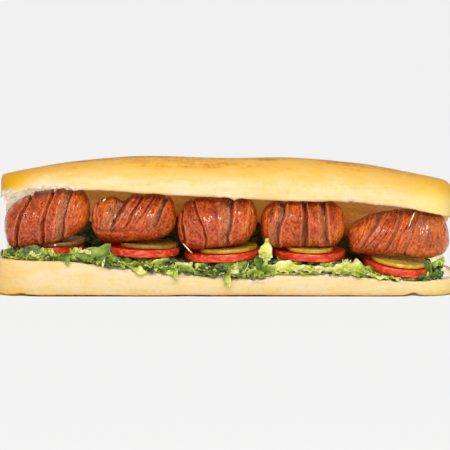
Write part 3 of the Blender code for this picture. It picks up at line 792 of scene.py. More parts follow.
# Each sausage, left to right. y, z and slope place its middle line. growth is how much thicker it gets to
# the right, facing and reach are the angles in degrees, counted up from the front, that the cuts are centred
# on and reach to on both sides, and blunt is how square its left and right ends are.
# A cut is (x, lean, bow, width, depth, gape, step): lean is its shift in x for each metre up, bow bends it
# more the further it is from the middle, gape is how much pale meat shows on its left wall, and step is how
# much thicker the sausage is past it. A bare patch is (x, height, half width, half height), and a pit is the
# same with a depth. A seam is a long crease as (angle, x, half length, depth). A sausage with bow has both
# ends lower than its middle by that much, and amber is how much yellower it is to the right.
sausages = [
    dict(left=-0.1440, right=-0.0880, y=-0.0185, z=0.0504, slope=0.165, radius=0.0172, growth=-0.02,
         facing=35, reach=112, blunt=(4.8, 3.6), bare=[],
         cuts=[(-0.1326, 0.27, 0.145, 0.0026, 0.0030, 0.15, 0.0016),
               (-0.1161, 0.20, 0.12, 0.0026, 0.0026, 0.20, 0.0002),
               (-0.1041, 0.20, 0.06, 0.0044, 0.0030, 0.95, -0.0006)]),
    dict(left=-0.0872, right=-0.0318, y=-0.0185, z=0.0497, slope=0.00, radius=0.0149, growth=0.03,
         facing=58, reach=88, blunt=(7.0, 4.0), bare=[], seam=(-24, -0.0700, 0.0190, 0.0008),
         cuts=[(-0.0836, 0.05, 0.00, 0.0018, 0.0020, 0.20, 0.0000),
               (-0.0739, 0.45, 0.10, 0.0052, 0.0040, 1.00, 0.0010),
               (-0.0630, 0.66, 0.00, 0.0022, 0.0014, 0.10, 0.0002),
               (-0.0560, 0.60, 0.10, 0.0020, 0.0010, 0.20, 0.0000),
               (-0.0453, 0.42, 0.10, 0.0036, 0.0028, 0.60, -0.0008)]),
    dict(left=-0.0312, right=0.0210, y=-0.0190, z=0.0468, slope=0.10, radius=0.0163, growth=0.00,
         facing=35, reach=106, blunt=(5.5, 4.5), bare=[(0.0002, -0.0085, 0.0024, 0.0024)],
         cuts=[(-0.0270, -0.12, -0.05, 0.0022, 0.0030, 0.20, 0.0008),
               (-0.0144, -0.27, -0.10, 0.0018, 0.0020, 0.20, 0.0002),
               (0.0012, 0.12, 0.08, 0.0048, 0.0030, 1.00, -0.0004)]),
    dict(left=0.0232, right=0.0786, y=-0.0185, z=0.0468, slope=0.00, radius=0.0160, growth=0.00,
         facing=38, reach=112, blunt=(6.0, 4.5), bare=[],
         cuts=[(0.0338, 0.23, 0.14, 0.0040, 0.0034, 0.90, 0.0006),
               (0.0514, 0.00, 0.05, 0.0030, 0.0040, 0.45, 0.0000),
               (0.0643, -0.14, 0.00, 0.0038, 0.0036, 0.55, -0.0004)]),
    dict(left=0.0806, right=0.1466, y=-0.0190, z=0.0407, slope=-0.055, radius=0.0153, growth=0.12,
         facing=42, reach=108, blunt=(4.5, 3.6), bare=[(0.1270, 0.0070, 0.0070, 0.0070)],
         pit=(0.1215, -0.0122, 0.0040, 0.0015, 0.0012), bow=0.003, amber=0.70,
         cuts=[(0.0878, 0.70, 0.00, 0.0014, 0.0007, 0.10, 0.0000),
               (0.0926, 0.66, 0.05, 0.0024, 0.0015, 0.50, 0.0000),
               (0.0976, 0.80, 0.00, 0.0014, 0.0006, 0.10, 0.0000),
               (0.1022, 0.62, 0.10, 0.0016, 0.0008, 0.20, 0.0000),
               (0.1083, 0.42, 0.00, 0.0022, 0.0016, 0.50, 0.0000),
               (0.1136, 0.56, 0.10, 0.0014, 0.0007, 0.10, 0.0002),
               (0.1190, 0.30, 0.10, 0.0020, 0.0010, 0.50, 0.0012)]),
]
sausageForm = dict(fade=math.radians(30), stations=300, around=130)


# What a sausage rests on at a place: the pickle slice, or the tomato slice beyond it, or the seat itself.
def stackTop(stack, x, y):
    pickleX, pickleY, radius = stack["pickle"]
    toPickle = np.hypot(x - pickleX, y - pickleY) - radius - slices["margin"] * 0.4
    toTomato = np.hypot(x - stack["x"], y - stack["y"]) - stack["radius"] - slices["margin"] * 0.4
    thick = slices["tomatoThickness"] * (1 - softStep(-0.0006, 0.0012, toTomato))
    full = slices["tomatoThickness"] + gap + slices["pickleThickness"]
    thick = thick + (full - thick) * (1 - softStep(-0.0006, 0.0012, toPickle))
    return seatHeight(stack, x, y) + thick


# How far each angle is from one given in degrees, from -pi to pi.
def angleFrom(turn, degrees):
    return (turn - math.radians(degrees) + math.pi) % (2 * math.pi) - math.pi


# One cut, as how deep it sinks, how far the skin past it is raised, and the shares of meat, of crease,
# painted dark as shade, and of lip, painted lighter as a highlight, that show. A closed cut is a narrow
# groove, exp(-(a / 0.3)^2). A gaping one is a long slope into its crease and a steep wall out of it, with
# both lips curled up.
def cutShape(form, cut, place, ring, opened, width):
    x, _, bow, cutWidth, depth, gape, step = cut
    along, upward = ring[..., 0], ring[..., 2]
    wander = 0.0010 * noiseAt(ring * [0, 1, 1] + [x, 0, 0], 0.007, 80 + place)
    across = (along - x - wander - bow * upward ** 2 / form["radius"]) / (cutWidth * (0.35 + 0.65 * opened))
    slit = np.exp(-(across / 0.30) ** 2)
    slopeIn = softStep(-1.05, 0.30, across) ** 1.25
    wallOut = 1 - softStep(0.30, 0.62, across)
    groove = (slit + (slopeIn * wallOut - slit) * gape) * opened
    crest = 0.62 + 0.20 * gape
    onRight, onLeft = across - crest, across + crest + 0.2  # how far from the crests of the two lips
    curl = np.exp(-(onRight / 0.26) ** 2) * 0.22 + np.exp(-(onLeft / 0.34) ** 2) * 0.16
    sunk = depth * (groove - curl * opened * width)
    raised = step * softStep(0.2, 0.9, across) * opened * width
    meat = (softStep(-0.95, -0.45, across) * (1 - softStep(0.36, 0.50, across)) * opened
            * softStep(0.1, 0.8, gape))
    # The crease is painted shade, darker for deeper cuts.
    ink = min(1, 0.25 + depth / 0.0030)
    crease = ink * np.exp(-((across - 0.30 * gape) / 0.17) ** 2) * opened
    # The lip mask is a painted highlight along the edges of the cut.
    lip = (np.exp(-(onRight / 0.20) ** 2) + 0.7 * np.exp(-(onLeft / 0.22) ** 2)) * opened
    return sunk, raised, meat, crease, lip


# Marks beside the cuts: bare patches that the skin has come off, and a pit and a long seam, both painted dark
# as shade in their hollows.
def skinMarks(form, ring, turn, opened, radius, meat, crease):
    along, upward = ring[..., 0], ring[..., 2]
    for x, height, reach, tall in form["bare"]:
        patch = np.exp(-(((along - x) / reach) ** 2 + ((upward - height) / tall) ** 2) ** 1.6) * opened
        radius = radius - 0.0010 * patch
        meat = np.maximum(meat, 0.60 * patch)
    if "pit" in form:
        x, height, reach, tall, depth = form["pit"]
        patch = np.exp(-(((along - x) / reach) ** 2 + ((upward - height) / tall) ** 2))
        radius = radius - depth * patch
        crease = np.maximum(crease, patch)
    if "seam" in form:
        angle, centre, reach, depth = form["seam"]
        window = np.exp(-((along - centre) / reach) ** 6)
        off = angleFrom(turn, angle) + 0.05 * noiseAt(ring * [1, 0, 0], 0.008, 5)
        fold = np.exp(-(off / 0.07) ** 2) - 0.6 * np.exp(-((off + 0.17) / 0.12) ** 2)
        radius = radius - depth * window * fold
        crease = np.maximum(crease, 0.6 * window * np.exp(-(off / 0.045) ** 2))
    return radius, meat, crease


# Masks of the skin's colour: tip, charred patches with painted shade on top under the lid, painted shade in a
# darker red on the underside, dark streaks round it, and amber patches that are strongest at both ends.
def skinMasks(number, form, ring, t, turn):
    char = layeredNoise(ring, (0.005, 0.009, 0.009), 3, 200 + number)
    amber = layeredNoise(ring, 0.011, 2, 260 + number)
    amber = amber + 0.55 * softStep(0.45, 0.95, t) - 0.10 + 0.35 * softStep(-0.5, -0.95, t)
    amber = amber + form.get("amber", 0) * softStep(0.0, 0.5, t)
    return {"tip": np.exp(-((1 - np.abs(t)) / 0.05) ** 2) + 0 * turn,
            # Charred patches, with painted shade on top under the lid.
            "char": softStep(0.05, 0.55, char + 0.55 * np.sin(turn) ** 3 - 0.05),
            # Painted shade, in a darker red, on the underside.
            "under": softStep(0.35, 0.95, -np.sin(turn)) + 0 * t,
            "streak": 0.5 + 0.5 * layeredNoise(ring, (0.0016, 0.009, 0.009), 3, 230 + number),
            "amber": softStep(0.0, 0.6, amber)}


# A sausage: rings round a straight middle line, radius times a round end, less its cuts. Lumps and short
# wrinkles of noise cover it, and its two ends are puckered. It bears on its slices and on the lid.
def sausageBody(number, form, stack):
    spaced = np.linspace(-1, 1, sausageForm["stations"] + 2)[1:-1]
    t = (spaced * 0.55 + np.sin(spaced * math.pi / 2) * 0.45)[:, None]
    middle, half = (form["left"] + form["right"]) / 2, (form["right"] - form["left"]) / 2
    turn = np.linspace(0, 2 * math.pi, sausageForm["around"], endpoint=False)[None, :]
    facing = np.abs(angleFrom(turn, form["facing"]))
    opened = softStep(0, 1, (math.radians(form["reach"]) - facing) / sausageForm["fade"])
    along = middle + t * half + 0 * turn
    width = endRound(t, np.where(t < 0, *form["blunt"]), 2.1)
    outY, outZ = -np.cos(turn) * form["radius"] + 0 * t, np.sin(turn) * form["radius"] + 0 * t
    ring = np.stack([along, outY, outZ], axis=-1)
    lumps = 0.0008 * layeredNoise(ring, 0.012, 2, 40 + number)
    lumps = lumps + 0.00034 * layeredNoise(ring, 0.0036, 3, 60 + number)
    wrinkles = layeredNoise(ring, (0.0021, 0.0075, 0.0075), 2, 70 + number)
    wrinkles = 0.00040 * (1 - 2 * np.abs(wrinkles)) * (0.35 + 0.65 * opened)
    pucker = 0.0005 * np.cos(11 * turn + number) * np.exp(-((1 - np.abs(t)) / 0.06) ** 2)
    radius = form["radius"] * (1 + form["growth"] * t) * width + (lumps + wrinkles + pucker) * width
    lean = curveThrough([(cut[0], cut[1]) for cut in form["cuts"]], along) * endRound(t, 4, 1)
    meat, crease, rim = (np.zeros(along.shape) for _ in range(3))
    for place, cut in enumerate(form["cuts"]):
        sunk, raised, *shares = cutShape(form, cut, place, ring, opened, width)
        radius = radius - sunk + raised
        meat, crease, rim = (np.maximum(held, share) for held, share in zip((meat, crease, rim), shares))
    radius, meat, crease = skinMarks(form, ring, turn, opened, radius, meat, crease)
    up = radius * np.sin(turn)
    xs = along + lean * up
    ys = form["y"] - radius * np.cos(turn)
    zs = form["z"] + form["slope"] * (along - middle) - form.get("bow", 0) * t * t + up
    zs = softMax(zs, stackTop(stack, xs, ys) + gap, 0.0008)
    zs = -softMax(-zs, -(lidCut(xs, ys) - 1.6 * gap), 0.0005)
    rings = np.stack([xs, ys, zs], axis=-1)
    heights = [form["z"] + side * form["slope"] * half - form.get("bow", 0) for side in (-1, 1)]
    body = closedBody(f"sausage{number}", rings, (form["left"], form["y"], heights[0]),
                      (form["right"], form["y"], heights[1]))
    masks = dict(skinMasks(number, form, ring, t, turn), meat=meat, crease=crease, rim=np.minimum(rim, 1))
    for label, values in masks.items():
        ends = (1.0, 1.0) if label == "tip" else (0.0, 0.0)
        setValues(body, label, np.concatenate([values.ravel(), ends]))
    return body


def sausageMaterial():
    material, tree, shader = newMaterial("grilled sausage skin")
    at = objectPlace(tree)
    # The fine orange flecks partly stand in for small highlights on the skin.
    broad, fine = blotchMask(tree, at, 130.0, 0.34, 0.66), blotchMask(tree, at, 640.0, 0.38, 0.62)
    inner = addMix(tree, fine, paint(212, 138, 88), paint(170, 96, 54))
    # The charred patches and painted shade on top darken the meat too.
    inner = layOver(tree, inner, "char", 0.70, paint(112, 58, 44))
    skin = addMix(tree, broad, paint(206, 70, 17), paint(150, 37, 8))
    streaks = softRead(tree, "streak", 0.46, 0.70)
    # Over the skin: painted shade in the creases, a painted highlight on the cut lips, painted shade on top
    # and underneath.
    for mask, share, colour in (
            ("amber", 0.75, paint(226, 116, 28)), (streaks, 0.80, paint(112, 22, 5)),
            (fine, 0.50, paint(238, 118, 34)), ("char", 0.60, paint(98, 26, 10)),
            ("under", 0.55, paint(136, 24, 2)), ("meat", 0.90, inner), ("rim", 0.46, paint(236, 136, 78)),
            ("crease", 0.84, paint(74, 20, 9)), ("tip", 0.40, paint(140, 56, 26))):
        skin = layOver(tree, skin, mask, share, colour)
    tree.links.new(skin, shader.inputs["Base Color"])
    film = placeGroup(tree, wetFilm, {"Vector": at, "Scale": 230.0, "Wet": 0.12, "Dry": 0.46})
    rough = addShare(tree, film["Roughness"], readValue(tree, "meat"), 0.2)
    tree.links.new(rough, shader.inputs["Roughness"])
    tree.links.new(addMath(tree, "MULTIPLY", film["Wetness"], 0.90), shader.inputs["Coat Weight"])
    shader.inputs["Coat Roughness"].default_value = 0.10
    shader.inputs["Specular IOR Level"].default_value = 0.30
    shader.inputs["Subsurface Weight"].default_value = 0.03
    shader.inputs["Subsurface Radius"].default_value = (0.004, 0.0012, 0.0006)
    shader.inputs["Subsurface Scale"].default_value = 1.0
    wrinkles = placeGroup(tree, foodGrain, {"Vector": stretched(tree, at, (1.0, 0.5, 0.5)), "Scale": 620.0,
                                            "Pits": 0.5})["Height"]
    addBump(tree, shader, wrinkles, 0.0019, 1.0)
    return material


def makeSausages():
    look = sausageMaterial()
    for number, (form, stack) in enumerate(zip(sausages, stacks), 1):
        body = sausageBody(number, form, stack)
        settle(body, look, "sausage", f"sausage_{number}")
    print("sausages:", len(sausages))


# The lettuce

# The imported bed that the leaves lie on: its outline, its margin to the roll's round ends, where its ridge
# along the back starts and how high that stands at x, and where the plane of the upright leaves is.
bed = dict(left=-0.1445, right=0.1400, front=-0.0300, back=0.0195, margin=0.006, ridgeY=0.0172,
           uprightY=-0.0250, stations=160,
           ridge=[(-0.1445, 0.0010), (-0.120, 0.0030), (-0.098, 0.0135), (0.080, 0.0140), (0.115, 0.0110),
                  (0.140, 0.0030)])
shreds = dict(seed=5, thickness=0.0004, lipRound=0.0014, corner=0.0016)

# How far out the loose leaves reach at x, along the drape: just over the edge, and less at the ends.
leafLimit = [(-0.1460, -0.0012), (-0.1000, -0.0008), (-0.0850, 0.0008), (-0.0600, 0.0016), (-0.0250, 0.0014),
             (0.0020, 0.0022), (0.0300, 0.0006), (0.0900, 0.0010), (0.1060, 0.0016), (0.1120, -0.0016),
             (0.1300, -0.0018), (0.1400, -0.0008)]

# Pieces that stand out in the heap, as (x, s, heading, length, width, h, rise, tilt, bend, tone, rib): s is
# how far along the drape the leaf starts, 0 at the edge of the bread and negative inside it; rise is how
# much higher its far end stands.
pieces = [
    (-0.1455, -0.0032, 0.05, 0.0130, 0.0044, 0.0030, 0.000, 0.9, 0.3, 0.85, 0.2),
    (-0.1440, -0.0016, -0.10, 0.0110, 0.0026, 0.0014, -0.001, 0.6, -0.4, 0.20, 0.3),
    (-0.1370, -0.0024, 0.20, 0.0100, 0.0030, 0.0020, 0.000, 0.5, 0.5, 0.45, 0.5),
    (-0.1340, -0.0022, -0.05, 0.0130, 0.0080, 0.0044, 0.000, 1.3, 0.3, 0.72, 0.2),
    (-0.1270, -0.0020, 0.05, 0.0110, 0.0080, 0.0050, 0.000, 1.3, -0.3, 0.50, 0.4),
    (-0.1225, -0.0024, -0.05, 0.0120, 0.0080, 0.0050, 0.000, 1.3, 0.3, 0.66, 0.2),
    (-0.1190, -0.0014, 0.10, 0.0090, 0.0050, 0.0040, 0.000, 1.1, 0.5, 0.30, 0.5),
    (-0.1130, -0.0020, -0.10, 0.0050, 0.0050, 0.0040, 0.000, 1.1, -0.5, 0.60, 0.4),
    (-0.1010, -0.0024, 0.05, 0.0150, 0.0090, 0.0040, 0.000, 1.3, 0.1, 0.42, 0.3),
    (-0.1290, -0.0036, 0.05, 0.0140, 0.0080, 0.0060, 0.000, 1.3, -0.1, 0.80, 0.3),
    (-0.1005, -0.0030, 0.00, 0.0150, 0.0090, 0.0062, 0.000, 1.35, 0.0, 0.36, 0.3),
    (-0.1030, -0.0030, 0.05, 0.0305, 0.0125, 0.0018, 0.0085, 1.25, 0.1, 0.50, 0.3),
    (-0.1022, -0.0010, 1.35, 0.0068, 0.0042, 0.0016, 0.000, 0.1, 0.3, 0.50, 0.4),
    (-0.0945, -0.0012, 0.10, 0.0085, 0.0034, 0.0066, 0.000, 0.7, 0.0, -0.15, 1.0),
    (-0.0880, -0.0020, 0.05, 0.0150, 0.0070, 0.0030, 0.000, 0.9, 0.6, 0.66, 0.5),
    (-0.0800, -0.0035, 0.20, 0.0120, 0.0060, 0.0030, 0.000, 0.4, -0.3, 0.50, 0.6),
    (-0.0800, -0.0010, 0.60, 0.0050, 0.0014, 0.0036, 0.000, 0.3, 3.4, 0.00, 0.8),
    (-0.0720, -0.0045, 0.25, 0.0130, 0.0070, 0.0036, 0.000, 0.4, -0.4, 0.44, 0.5),
    (-0.0700, -0.0050, 0.10, 0.0120, 0.0070, 0.0044, 0.000, 0.8, 0.4, 0.30, 0.6),
    (-0.0620, -0.0060, 0.05, 0.0120, 0.0064, 0.0040, 0.000, 0.7, 0.4, 0.50, 0.5),
    (-0.0590, -0.0030, 0.20, 0.0120, 0.0044, 0.0036, 0.000, 0.4, 0.4, 0.55, 0.4),
    (-0.0500, -0.0045, -0.10, 0.0130, 0.0056, 0.0040, 0.000, 0.6, 0.3, 0.40, 0.5),
    (-0.0440, -0.0050, 0.30, 0.0120, 0.0052, 0.0034, 0.000, 0.4, 0.5, 0.55, 0.5),
    (-0.0348, -0.0045, 1.10, 0.0090, 0.0042, 0.0030, 0.000, 0.2, 0.4, 0.40, 0.4),
    (-0.0290, -0.0070, 0.15, 0.0170, 0.0070, 0.0036, 0.000, 0.5, -0.2, 0.50, 0.7),
    (-0.0200, -0.0055, 0.10, 0.0180, 0.0044, 0.0030, 0.000, 0.4, 0.3, 0.92, 0.3),
    (-0.0190, -0.0030, 0.20, 0.0150, 0.0040, 0.0030, 0.000, 0.3, -0.3, 0.70, 0.4),
    (0.0004, -0.0030, 1.35, 0.0088, 0.0054, 0.0028, 0.000, 0.1, 0.3, 0.34, 0.5),
    (0.0052, -0.0080, 1.10, 0.0070, 0.0050, 0.0066, -0.001, 0.1, 0.0, -0.15, 0.9),
    (0.0060, -0.0050, 0.25, 0.0140, 0.0050, 0.0036, 0.000, 0.5, 0.6, 0.66, 0.4),
    (0.0120, -0.0065, 0.10, 0.0140, 0.0060, 0.0036, 0.000, 0.6, 0.3, 0.50, 0.5),
    (0.0236, -0.0070, 0.05, 0.0090, 0.0090, 0.0050, 0.000, 0.8, 0.2, 0.55, 0.5),
    (0.0270, -0.0070, 0.05, 0.0220, 0.0100, 0.0050, 0.000, 0.5, 0.1, 0.24, 0.5),
    (0.0300, -0.0024, 0.05, 0.0180, 0.0056, 0.0032, 0.000, 0.3, 0.2, 0.12, 0.8),
    (0.0440, -0.0045, -0.05, 0.0140, 0.0080, 0.0040, 0.000, 0.5, 0.3, 0.16, 0.5),
    (0.0500, -0.0020, 0.05, 0.0150, 0.0056, 0.0034, 0.000, 0.3, -0.3, 0.16, 0.6),
    (0.0580, -0.0050, 0.00, 0.0130, 0.0080, 0.0040, 0.000, 0.5, 0.3, 0.10, 0.6),
    (0.0640, -0.0022, 0.05, 0.0140, 0.0056, 0.0034, 0.000, 0.3, 0.3, 0.30, 0.6),
    (0.0700, -0.0055, -0.05, 0.0160, 0.0090, 0.0040, 0.000, 0.5, 0.4, 0.16, 0.6),
    (0.0760, -0.0080, 0.05, 0.0160, 0.0080, 0.0060, 0.000, 0.8, 0.2, 0.46, 0.5),
    (0.0850, -0.0050, 0.20, 0.0160, 0.0070, 0.0034, 0.000, 0.4, 0.2, 0.10, 0.9),
    (0.0990, -0.0050, 0.50, 0.0090, 0.0046, 0.0030, 0.000, 0.4, -0.2, 0.85, 0.3),
    (0.1065, -0.0020, 0.30, 0.0070, 0.0050, 0.0024, 0.000, 0.3, 0.3, 0.14, 0.8),
    (0.1325, -0.0016, 0.05, 0.0095, 0.0060, 0.0030, 0.000, 0.9, 0.3, 0.78, 0.3),
]

# Leaves that stand upright near the front: their s is a height above the ground, h is how far out they stand.
standing = [
    (0.0238, 0.0250, 1.20, 0.0152, 0.0074, 0.0036, 0.002, 0.1, 0.6, 0.02, 0.2),
    (0.0268, 0.0235, 1.45, 0.0095, 0.0062, 0.0050, 0.000, -0.2, 0.3, 0.10, 0.3),
    (0.1345, 0.0150, 0.90, 0.0110, 0.0070, 0.0030, 0.000, 0.3, -0.4, 0.86, 0.3),
    (0.1320, 0.0165, 1.60, 0.0085, 0.0050, 0.0034, 0.000, 0.3, 0.5, 0.62, 0.3),
    (0.1350, 0.0205, 0.55, 0.0090, 0.0042, 0.0040, 0.000, 0.3, -0.4, 0.34, 0.3),
    (0.1392, 0.0205, 1.10, 0.0070, 0.0034, 0.0046, 0.000, -0.3, 0.5, 0.30, 0.2),
]


# Share of its full depth that the bed keeps at x, so that it stays inside the roll's round ends.
def bedRoom(x):
    return (sharedDepth(x) - bed["margin"]) / (roll["halfDepth"] - bed["margin"])


# Top of the bed: just below each seat near its slice, and in between the seats elsewhere.
def bedTop(x, y):
    level = np.interp(x, [stack["x"] for stack in stacks], [stack["height"] for stack in stacks])
    for stack in stacks:
        away = np.hypot(x - stack["x"], y - stack["y"]) - stack["radius"]
        near = 1 - softStep(0.003, 0.008, away)
        level = level + (np.minimum(level, seatHeight(stack, x, y)) - level) * near
    return level


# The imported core: a closed ring over the lower cut face at each x, with a ridge along the back.
def lettuceCore():
    x = np.linspace(bed["left"], bed["right"], bed["stations"])
    room = bedRoom(x)[:, None]
    under = np.linspace(bed["front"], bed["back"], 20)
    over = np.concatenate([np.linspace(bed["back"], bed["ridgeY"], 4), np.linspace(0.0165, bed["front"], 40)])
    underX, underY = np.meshgrid(x, under, indexing="ij")
    overX, overY = np.meshgrid(x, over, indexing="ij")
    behind = overY >= bed["ridgeY"]
    underY, overY = underY * room, overY * room
    underZ = baseCut(underX, underY) + 3 * gap
    overZ = bedTop(overX, overY) - 3 * gap
    ridge = curveThrough(bed["ridge"], overX) * (0.9 + 0.1 * np.sin(overX * 400))
    overZ = np.where(behind, overZ + ridge, overZ)
    rough = noiseAt(np.stack([overX, overY, overX * 0], axis=-1), 0.0030, 17)
    overZ = np.maximum(overZ - 0.0009 * (rough + 1), baseCut(overX, overY) + 5 * gap)
    return np.concatenate([np.stack([underX, underY, underZ], axis=-1),
                           np.stack([overX, overY, overZ], axis=-1)], axis=1)


# The drape that leaves lie on, seen from its edge: s is the way along it, h stands off it.
# From the bed's top it goes down the bed's front, over the cut face, round the edge and down the crust.
def onDrape(x, s, h):
    edgeY = -roll["halfDepth"] * rollWidth(x, roll["left"], roll["right"])
    bankY = np.maximum(bed["front"] * bedRoom(x), edgeY + 0.003)
    run = bankY - edgeY
    foot = baseCut(x, bankY)
    bank = np.maximum(bedTop(x, bankY) - foot, 0.0005)
    inward = np.maximum(-s, 0)
    climb = np.clip(inward - run, 0, bank)
    onBank = softStep(-shreds["corner"], shreds["corner"], inward - run)
    onBank = onBank * (1 - softStep(-shreds["corner"], shreds["corner"], inward - run - bank))
    onCut = edgeY + np.minimum(inward, run)
    inY = onCut + 0.3 * climb + np.maximum(inward - run - bank, 0) - 0.85 * h * onBank
    inZ = np.where(inward < run, baseCut(x, onCut), foot + climb) + h * (1 - 0.6 * onBank)
    lipRound = shreds["lipRound"]
    bend = np.clip(s / lipRound, 0, math.pi / 2)
    fall = np.maximum(s - lipRound * math.pi / 2, 0)
    y = np.where(s < 0, inY, edgeY - (h + lipRound) * np.sin(bend))
    z = np.where(s < 0, inZ, baseCut(x, edgeY) - lipRound + (h + lipRound) * np.cos(bend) - fall)
    return np.stack([x, y, z], axis=-1)


# The front of the ridge at the back, where s runs up it.
def onRidge(x, s, h):
    backY = bed["ridgeY"] * bedRoom(x) - 0.0008
    return np.stack([x, backY - h, bedTop(x, backY) + s], axis=-1)


# An upright plane behind the front edge, where s is the height and h stands out of it.
def onUpright(x, s, h):
    return np.stack([x, bed["uprightY"] - h, s], axis=-1)


# The drape for leaves near the bed's ends: what passes an end bends down over it onto the bread.
def onEnds(x, s, h):
    past = softMax(bed["left"] + 0.001 - x, x - bed["right"] + 0.001, 0.002)
    past = np.maximum(past, 0)
    place = onDrape(x, s, h)
    place[..., 0] = x + np.sign(-x) * 0.5 * past
    place[..., 2] -= 1.3 * past
    return place


# Leaves as closed thin sheets, all at once. Along u a leaf's heading turns, its width tapers to both
# ends, and it waves and twists. Steep leaves taper more to their far end. Across v its edges ruffle. Its
# two faces lie a thickness apart. Leaves right of the middle are paler.
def leafSheets(leaves, place, steps, across):
    u = np.linspace(0, 1, steps)[None, :, None]
    v = np.linspace(-1, 1, across)[None, None, :]
    get = {key: np.array([leaf[key] for leaf in leaves])[:, None, None] for key in leaves[0]}
    heading = get["heading"] + get["bend"] * (u - 0.3)
    stepX, stepS = np.cos(heading) * get["length"] / steps, np.sin(heading) * get["length"] / steps
    middleX = get["x"] + np.cumsum(stepX, axis=1) - stepX
    middleS = get["s"] + np.cumsum(stepS, axis=1) - stepS
    wide = get["width"] / 2 * (0.55 + 0.45 * np.sin(math.pi * (0.04 + 0.92 * u)) ** 0.5)
    wide = wide * (1 + 0.16 * np.sin(8 * u + get["phase"]) + 0.07 * np.sin(19 * u + 2 * get["phase"]))
    wide = wide * np.where(get["heading"] > 0.8, 1.1 - 0.7 * u ** 2.5, 1)
    twist = get["twist"] * (u - 0.2) + get["tilt"]
    side = v * wide
    x = middleX - np.sin(heading) * side * np.cos(twist)
    s = middleS + np.cos(heading) * side * np.cos(twist)
    limit = curveThrough(leafLimit, x) + 0.0012 * np.sin(5 * get["phase"]) + 0.0005 * np.sin(900 * x)
    s = np.where(get["loose"] > 0, -softMax(-s, -limit, 0.0006), s)
    wave = get["wave"] * np.sin(2 * math.pi * get["waves"] * u + get["phase"])
    ruffle = get["ruffle"] * v * v * np.sin(2 * math.pi * get["ruffles"] * u + 3 * get["phase"] + 1.4 * v)
    fold = get["fold"] * (v * v - 0.3)
    arch = (0.86 - 0.26 * get["loose"]) + (0.14 + 0.26 * get["loose"]) * np.sin(math.pi * u)
    h = get["h"] * arch + get["rise"] * u + wave + ruffle + fold - side * np.sin(twist)
    middle = place(x, s, np.maximum(h, 0.0003))
    downU = np.gradient(middle, axis=1)
    downV = np.gradient(middle, axis=2)
    normal = np.cross(downU, downV)
    normal /= np.maximum(np.linalg.norm(normal, axis=-1, keepdims=True), 1e-12)
    thin = shreds["thickness"] / 2 * (1 - 0.55 * np.abs(v) ** 3 + 0.8 * get["rib"] * np.exp(-(v / 0.2) ** 2))
    thin = thin[..., None]
    top, bottom = middle + normal * thin, middle - normal * thin
    rings = np.concatenate([top, bottom[:, :, ::-1]], axis=2)
    edge = np.broadcast_to(np.abs(v), x.shape)
    rib = np.exp(-(v / 0.22) ** 2) * get["rib"] + 0 * x
    tone = get["tone"] + 0.12 * np.sin(5 * u + get["phase"]) + 0.12 * v
    tone = tone + 0.05 - 0.17 * softStep(0.020, 0.045, x) * softStep(0.105, 0.085, x)
    masks = {"tone": tone, "rib": rib, "edge": edge}
    masks = {key: np.concatenate([value, value[:, :, ::-1]], axis=2) for key, value in masks.items()}
    return rings, masks


# Corner lists of many closed sheets, numbered after the points already there.
def sheetFaces(rings, start):
    count, steps, around = rings.shape[:3]
    index = start + np.arange(count * steps * around).reshape(count, steps, around)
    ahead = np.roll(index, -1, axis=2)
    sides = np.stack([index[:, :-1], ahead[:, :-1], ahead[:, 1:], index[:, 1:]], axis=-1).reshape(-1, 4)
    half = around // 2
    caps = []
    for row, order in ((index[:, 0], slice(None, None, -1)), (index[:, -1], slice(None))):
        top, bottom = row[:, :half], row[:, ::-1][:, :half]
        corners = np.stack([top[:, :-1], top[:, 1:], bottom[:, 1:], bottom[:, :-1]], axis=-1).reshape(-1, 4)
        caps.append(corners[:, order])
    return np.concatenate([sides] + caps)


# Keeps leaf points out of the stacks and the bread: inside a slice's outline they go below its seat.
def underSlices(points):
    x, y, z = points[..., 0], points[..., 1], points[..., 2]
    for stack in stacks:
        reach = np.hypot(x - stack["x"], y - stack["y"]) - stack["radius"] - 0.0008
        seat = seatHeight(stack, x, y)
        inside = (reach < 0) & (z < seat + slices["tomatoThickness"] + 0.004)
        z = np.where(inside, np.minimum(z, seat - gap), z)
    return np.stack([x, y, np.maximum(z, np.where(y > -0.034, baseCut(x, y) + 0.0003, -1))], axis=-1)


# Random leaves with their ranges, drawn by one seeded generator.
def drawLeaves(draw, count, ranges):
    return [{key: draw.uniform(*limits) for key, limits in ranges.items()} for _ in range(count)]


def lettuceMaterial():
    material, tree, shader = newMaterial("shredded lettuce leaf")
    at = objectPlace(tree)
    broad, fine = blotchMask(tree, at, 170.0, 0.3, 0.7), blotchMask(tree, at, 700.0, 0.3, 0.7)
    edge = addMath(tree, "POWER", readValue(tree, "edge"), 3.0)
    tone = readValue(tree, "tone")
    for mask, share in ((broad, 0.22), (fine, 0.12), (readValue(tree, "rib"), -0.30), (edge, -0.20)):
        tone = addShare(tree, tone, mask, share)
    tone = addMath(tree, "SUBTRACT", tone, 0.06, clamp=True)
    # Tone runs from pale to near-black green: real paler and darker leaves, with the darkest end painted
    # shade deep in the heap and the palest end partly painted highlight.
    leaf = addRamp(tree, tone, [
        (0.00, paint(226, 220, 160)), (0.18, paint(214, 216, 98)), (0.40, paint(156, 174, 54)),
        (0.66, paint(92, 120, 32)), (1.00, paint(34, 46, 10))])
    tree.links.new(leaf, shader.inputs["Base Color"])
    film = placeGroup(tree, wetFilm, {"Vector": at, "Scale": 300.0, "Wet": 0.28, "Dry": 0.5})
    tree.links.new(film["Roughness"], shader.inputs["Roughness"])
    shader.inputs["Subsurface Weight"].default_value = 0.12
    shader.inputs["Subsurface Radius"].default_value = (0.001, 0.0014, 0.0004)
    shader.inputs["Subsurface Scale"].default_value = 1.0
    veins = addNode(tree, "ShaderNodeTexVoronoi", {"Vector": at, "Scale": 420.0}, feature="DISTANCE_TO_EDGE")
    raised = addNode(tree, "ShaderNodeMapRange", {"Value": veins.outputs["Distance"], "From Max": 0.12,
                                                  "To Min": 1.0, "To Max": 0.0}).outputs["Result"]
    addBump(tree, shader, raised, 0.0003, 0.5)
    return material


